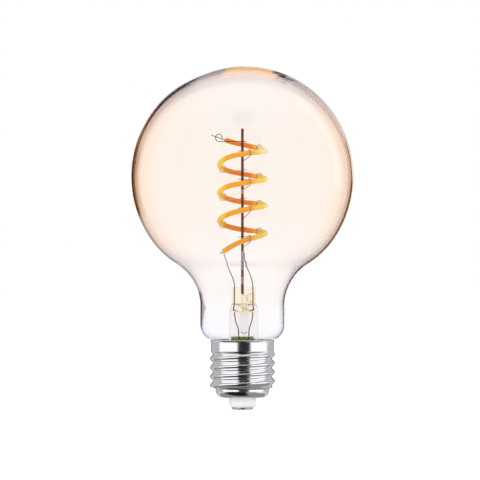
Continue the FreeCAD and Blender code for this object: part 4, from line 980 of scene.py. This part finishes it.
def studio_world():
    """What each kind of ray finds round the object. The camera finds white. A ray that has lit a matt
    surface finds an even grey, and more where it crossed the glass, which keeps some back. Rough metal
    finds the room, and clear glass its own surround. Off and turn are a direction's angles off the view
    and round it; a small gap keeps their divisor above 0."""
    world = bpy.data.worlds.new("studio")
    bpy.context.scene.world = world
    world.use_nodes = True
    tree = world.node_tree
    tree.nodes.clear()
    parts = tree.nodes.new("ShaderNodeSeparateXYZ")
    put(parts.inputs[0], tree.nodes.new("ShaderNodeTexCoord").outputs["Generated"])
    x, y, z = parts.outputs
    off = angle_of(tree, "ARCCOSINE", y)
    away = maths(tree, "SQRT", maths(tree, "SUBTRACT", 1.0 + AXIS_GAP, times(tree, y, y)))
    across, upward = maths(tree, "DIVIDE", x, away), maths(tree, "DIVIDE", z, away)
    turn = angle_of(tree, "ARCTAN2", across, upward)
    rays = tree.nodes.new("ShaderNodeLightPath").outputs
    shown = blend(tree, rays["Is Singular Ray"], room_colour(tree, x, y, z, off, across),
                  glass_colour(tree, rays, y, off, turn))
    lit = blend(tree, rays["Is Transmission Ray"], grey(AMBIENT), grey(INTERIOR))
    shown = blend(tree, maths(tree, "GREATER_THAN", rays["Diffuse Depth"], 0.5), shown, lit)
    shown = blend(tree, rays["Is Camera Ray"], shown, grey(1.0))
    background = tree.nodes.new("ShaderNodeBackground")
    put(background.inputs["Color"], shown)
    put(tree.nodes.new("ShaderNodeOutputWorld").inputs["Surface"], background.outputs[0])


def floor():
    """A plain pale floor. To the camera it mostly glows, so that it is as white as the surround, and the
    rest is paint that holds the object's shadow."""
    mesh = bpy.data.meshes.new("floor")
    corners = [(x * FLOOR_REACH, y * FLOOR_REACH, 0) for x, y in ((-1, -1), (1, -1), (1, 1), (-1, 1))]
    mesh.from_pydata(corners, [], [(0, 1, 2, 3)])
    made = bpy.data.objects.new("floor", mesh)
    bpy.context.scene.collection.objects.link(made)
    paint, tree, shader = material("floor_white", Base_Color=grey(FLOOR_LEVEL), Roughness=0.9)
    glow = tree.nodes.new("ShaderNodeEmission")
    glow.inputs["Strength"].default_value = FLOOR_LIGHT
    rays = tree.nodes.new("ShaderNodeLightPath").outputs
    mixed = tree.nodes.new("ShaderNodeMixShader")
    put(mixed.inputs[0], times(tree, rays["Is Camera Ray"], FLOOR_GLOW))
    put(mixed.inputs[1], shader.outputs[0])
    put(mixed.inputs[2], glow.outputs[0])
    put(tree.nodes["Material Output"].inputs["Surface"], mixed.outputs[0])
    mesh.materials.append(paint)
    made.visible_glossy = made.visible_transmission = False


def softbox(name, place, width, height, power):
    """A large soft lamp, turned to a place halfway up to the globe's centre; reflections see the
    surround's softboxes instead."""
    data = bpy.data.lights.new(name, "AREA")
    data.shape, data.size, data.size_y, data.energy = "RECTANGLE", width, height, power
    lamp = bpy.data.objects.new(name, data)
    bpy.context.scene.collection.objects.link(lamp)
    lamp.location = place
    aim = np.array([0, 0, GLOBE_Z / 2]) - np.array(place)
    lamp.rotation_euler = mathutils.Vector(aim).to_track_quat("-Z", "Y").to_euler()
    lamp.visible_glossy = lamp.visible_transmission = lamp.visible_camera = False


def camera():
    """Level with the bulb's middle, a little to its left, so that the bulb stands where the photograph
    has it. The lens grows with the distance, which keeps the bulb's size: f = lens away / lens_away."""
    data = bpy.data.cameras.new("camera")
    data.lens, data.sensor_width = LENS * CAMERA_AWAY / LENS_AWAY, SENSOR
    view = bpy.data.objects.new("camera", data)
    bpy.context.scene.collection.objects.link(view)
    view.location = (CAMERA_SIDE, -CAMERA_AWAY, CAMERA_HEIGHT)
    view.rotation_euler = (math.pi / 2, 0, 0)
    data.clip_start, data.clip_end = 0.01, 20.0
    bpy.context.scene.camera = view


studio_world()
floor()
for lamp in LAMPS:
    softbox(*lamp)
camera()

scene = bpy.context.scene
scene.view_settings.view_transform = "Standard"
scene.cycles.max_bounces = 32
scene.cycles.transmission_bounces = 28
scene.cycles.glossy_bounces = 12
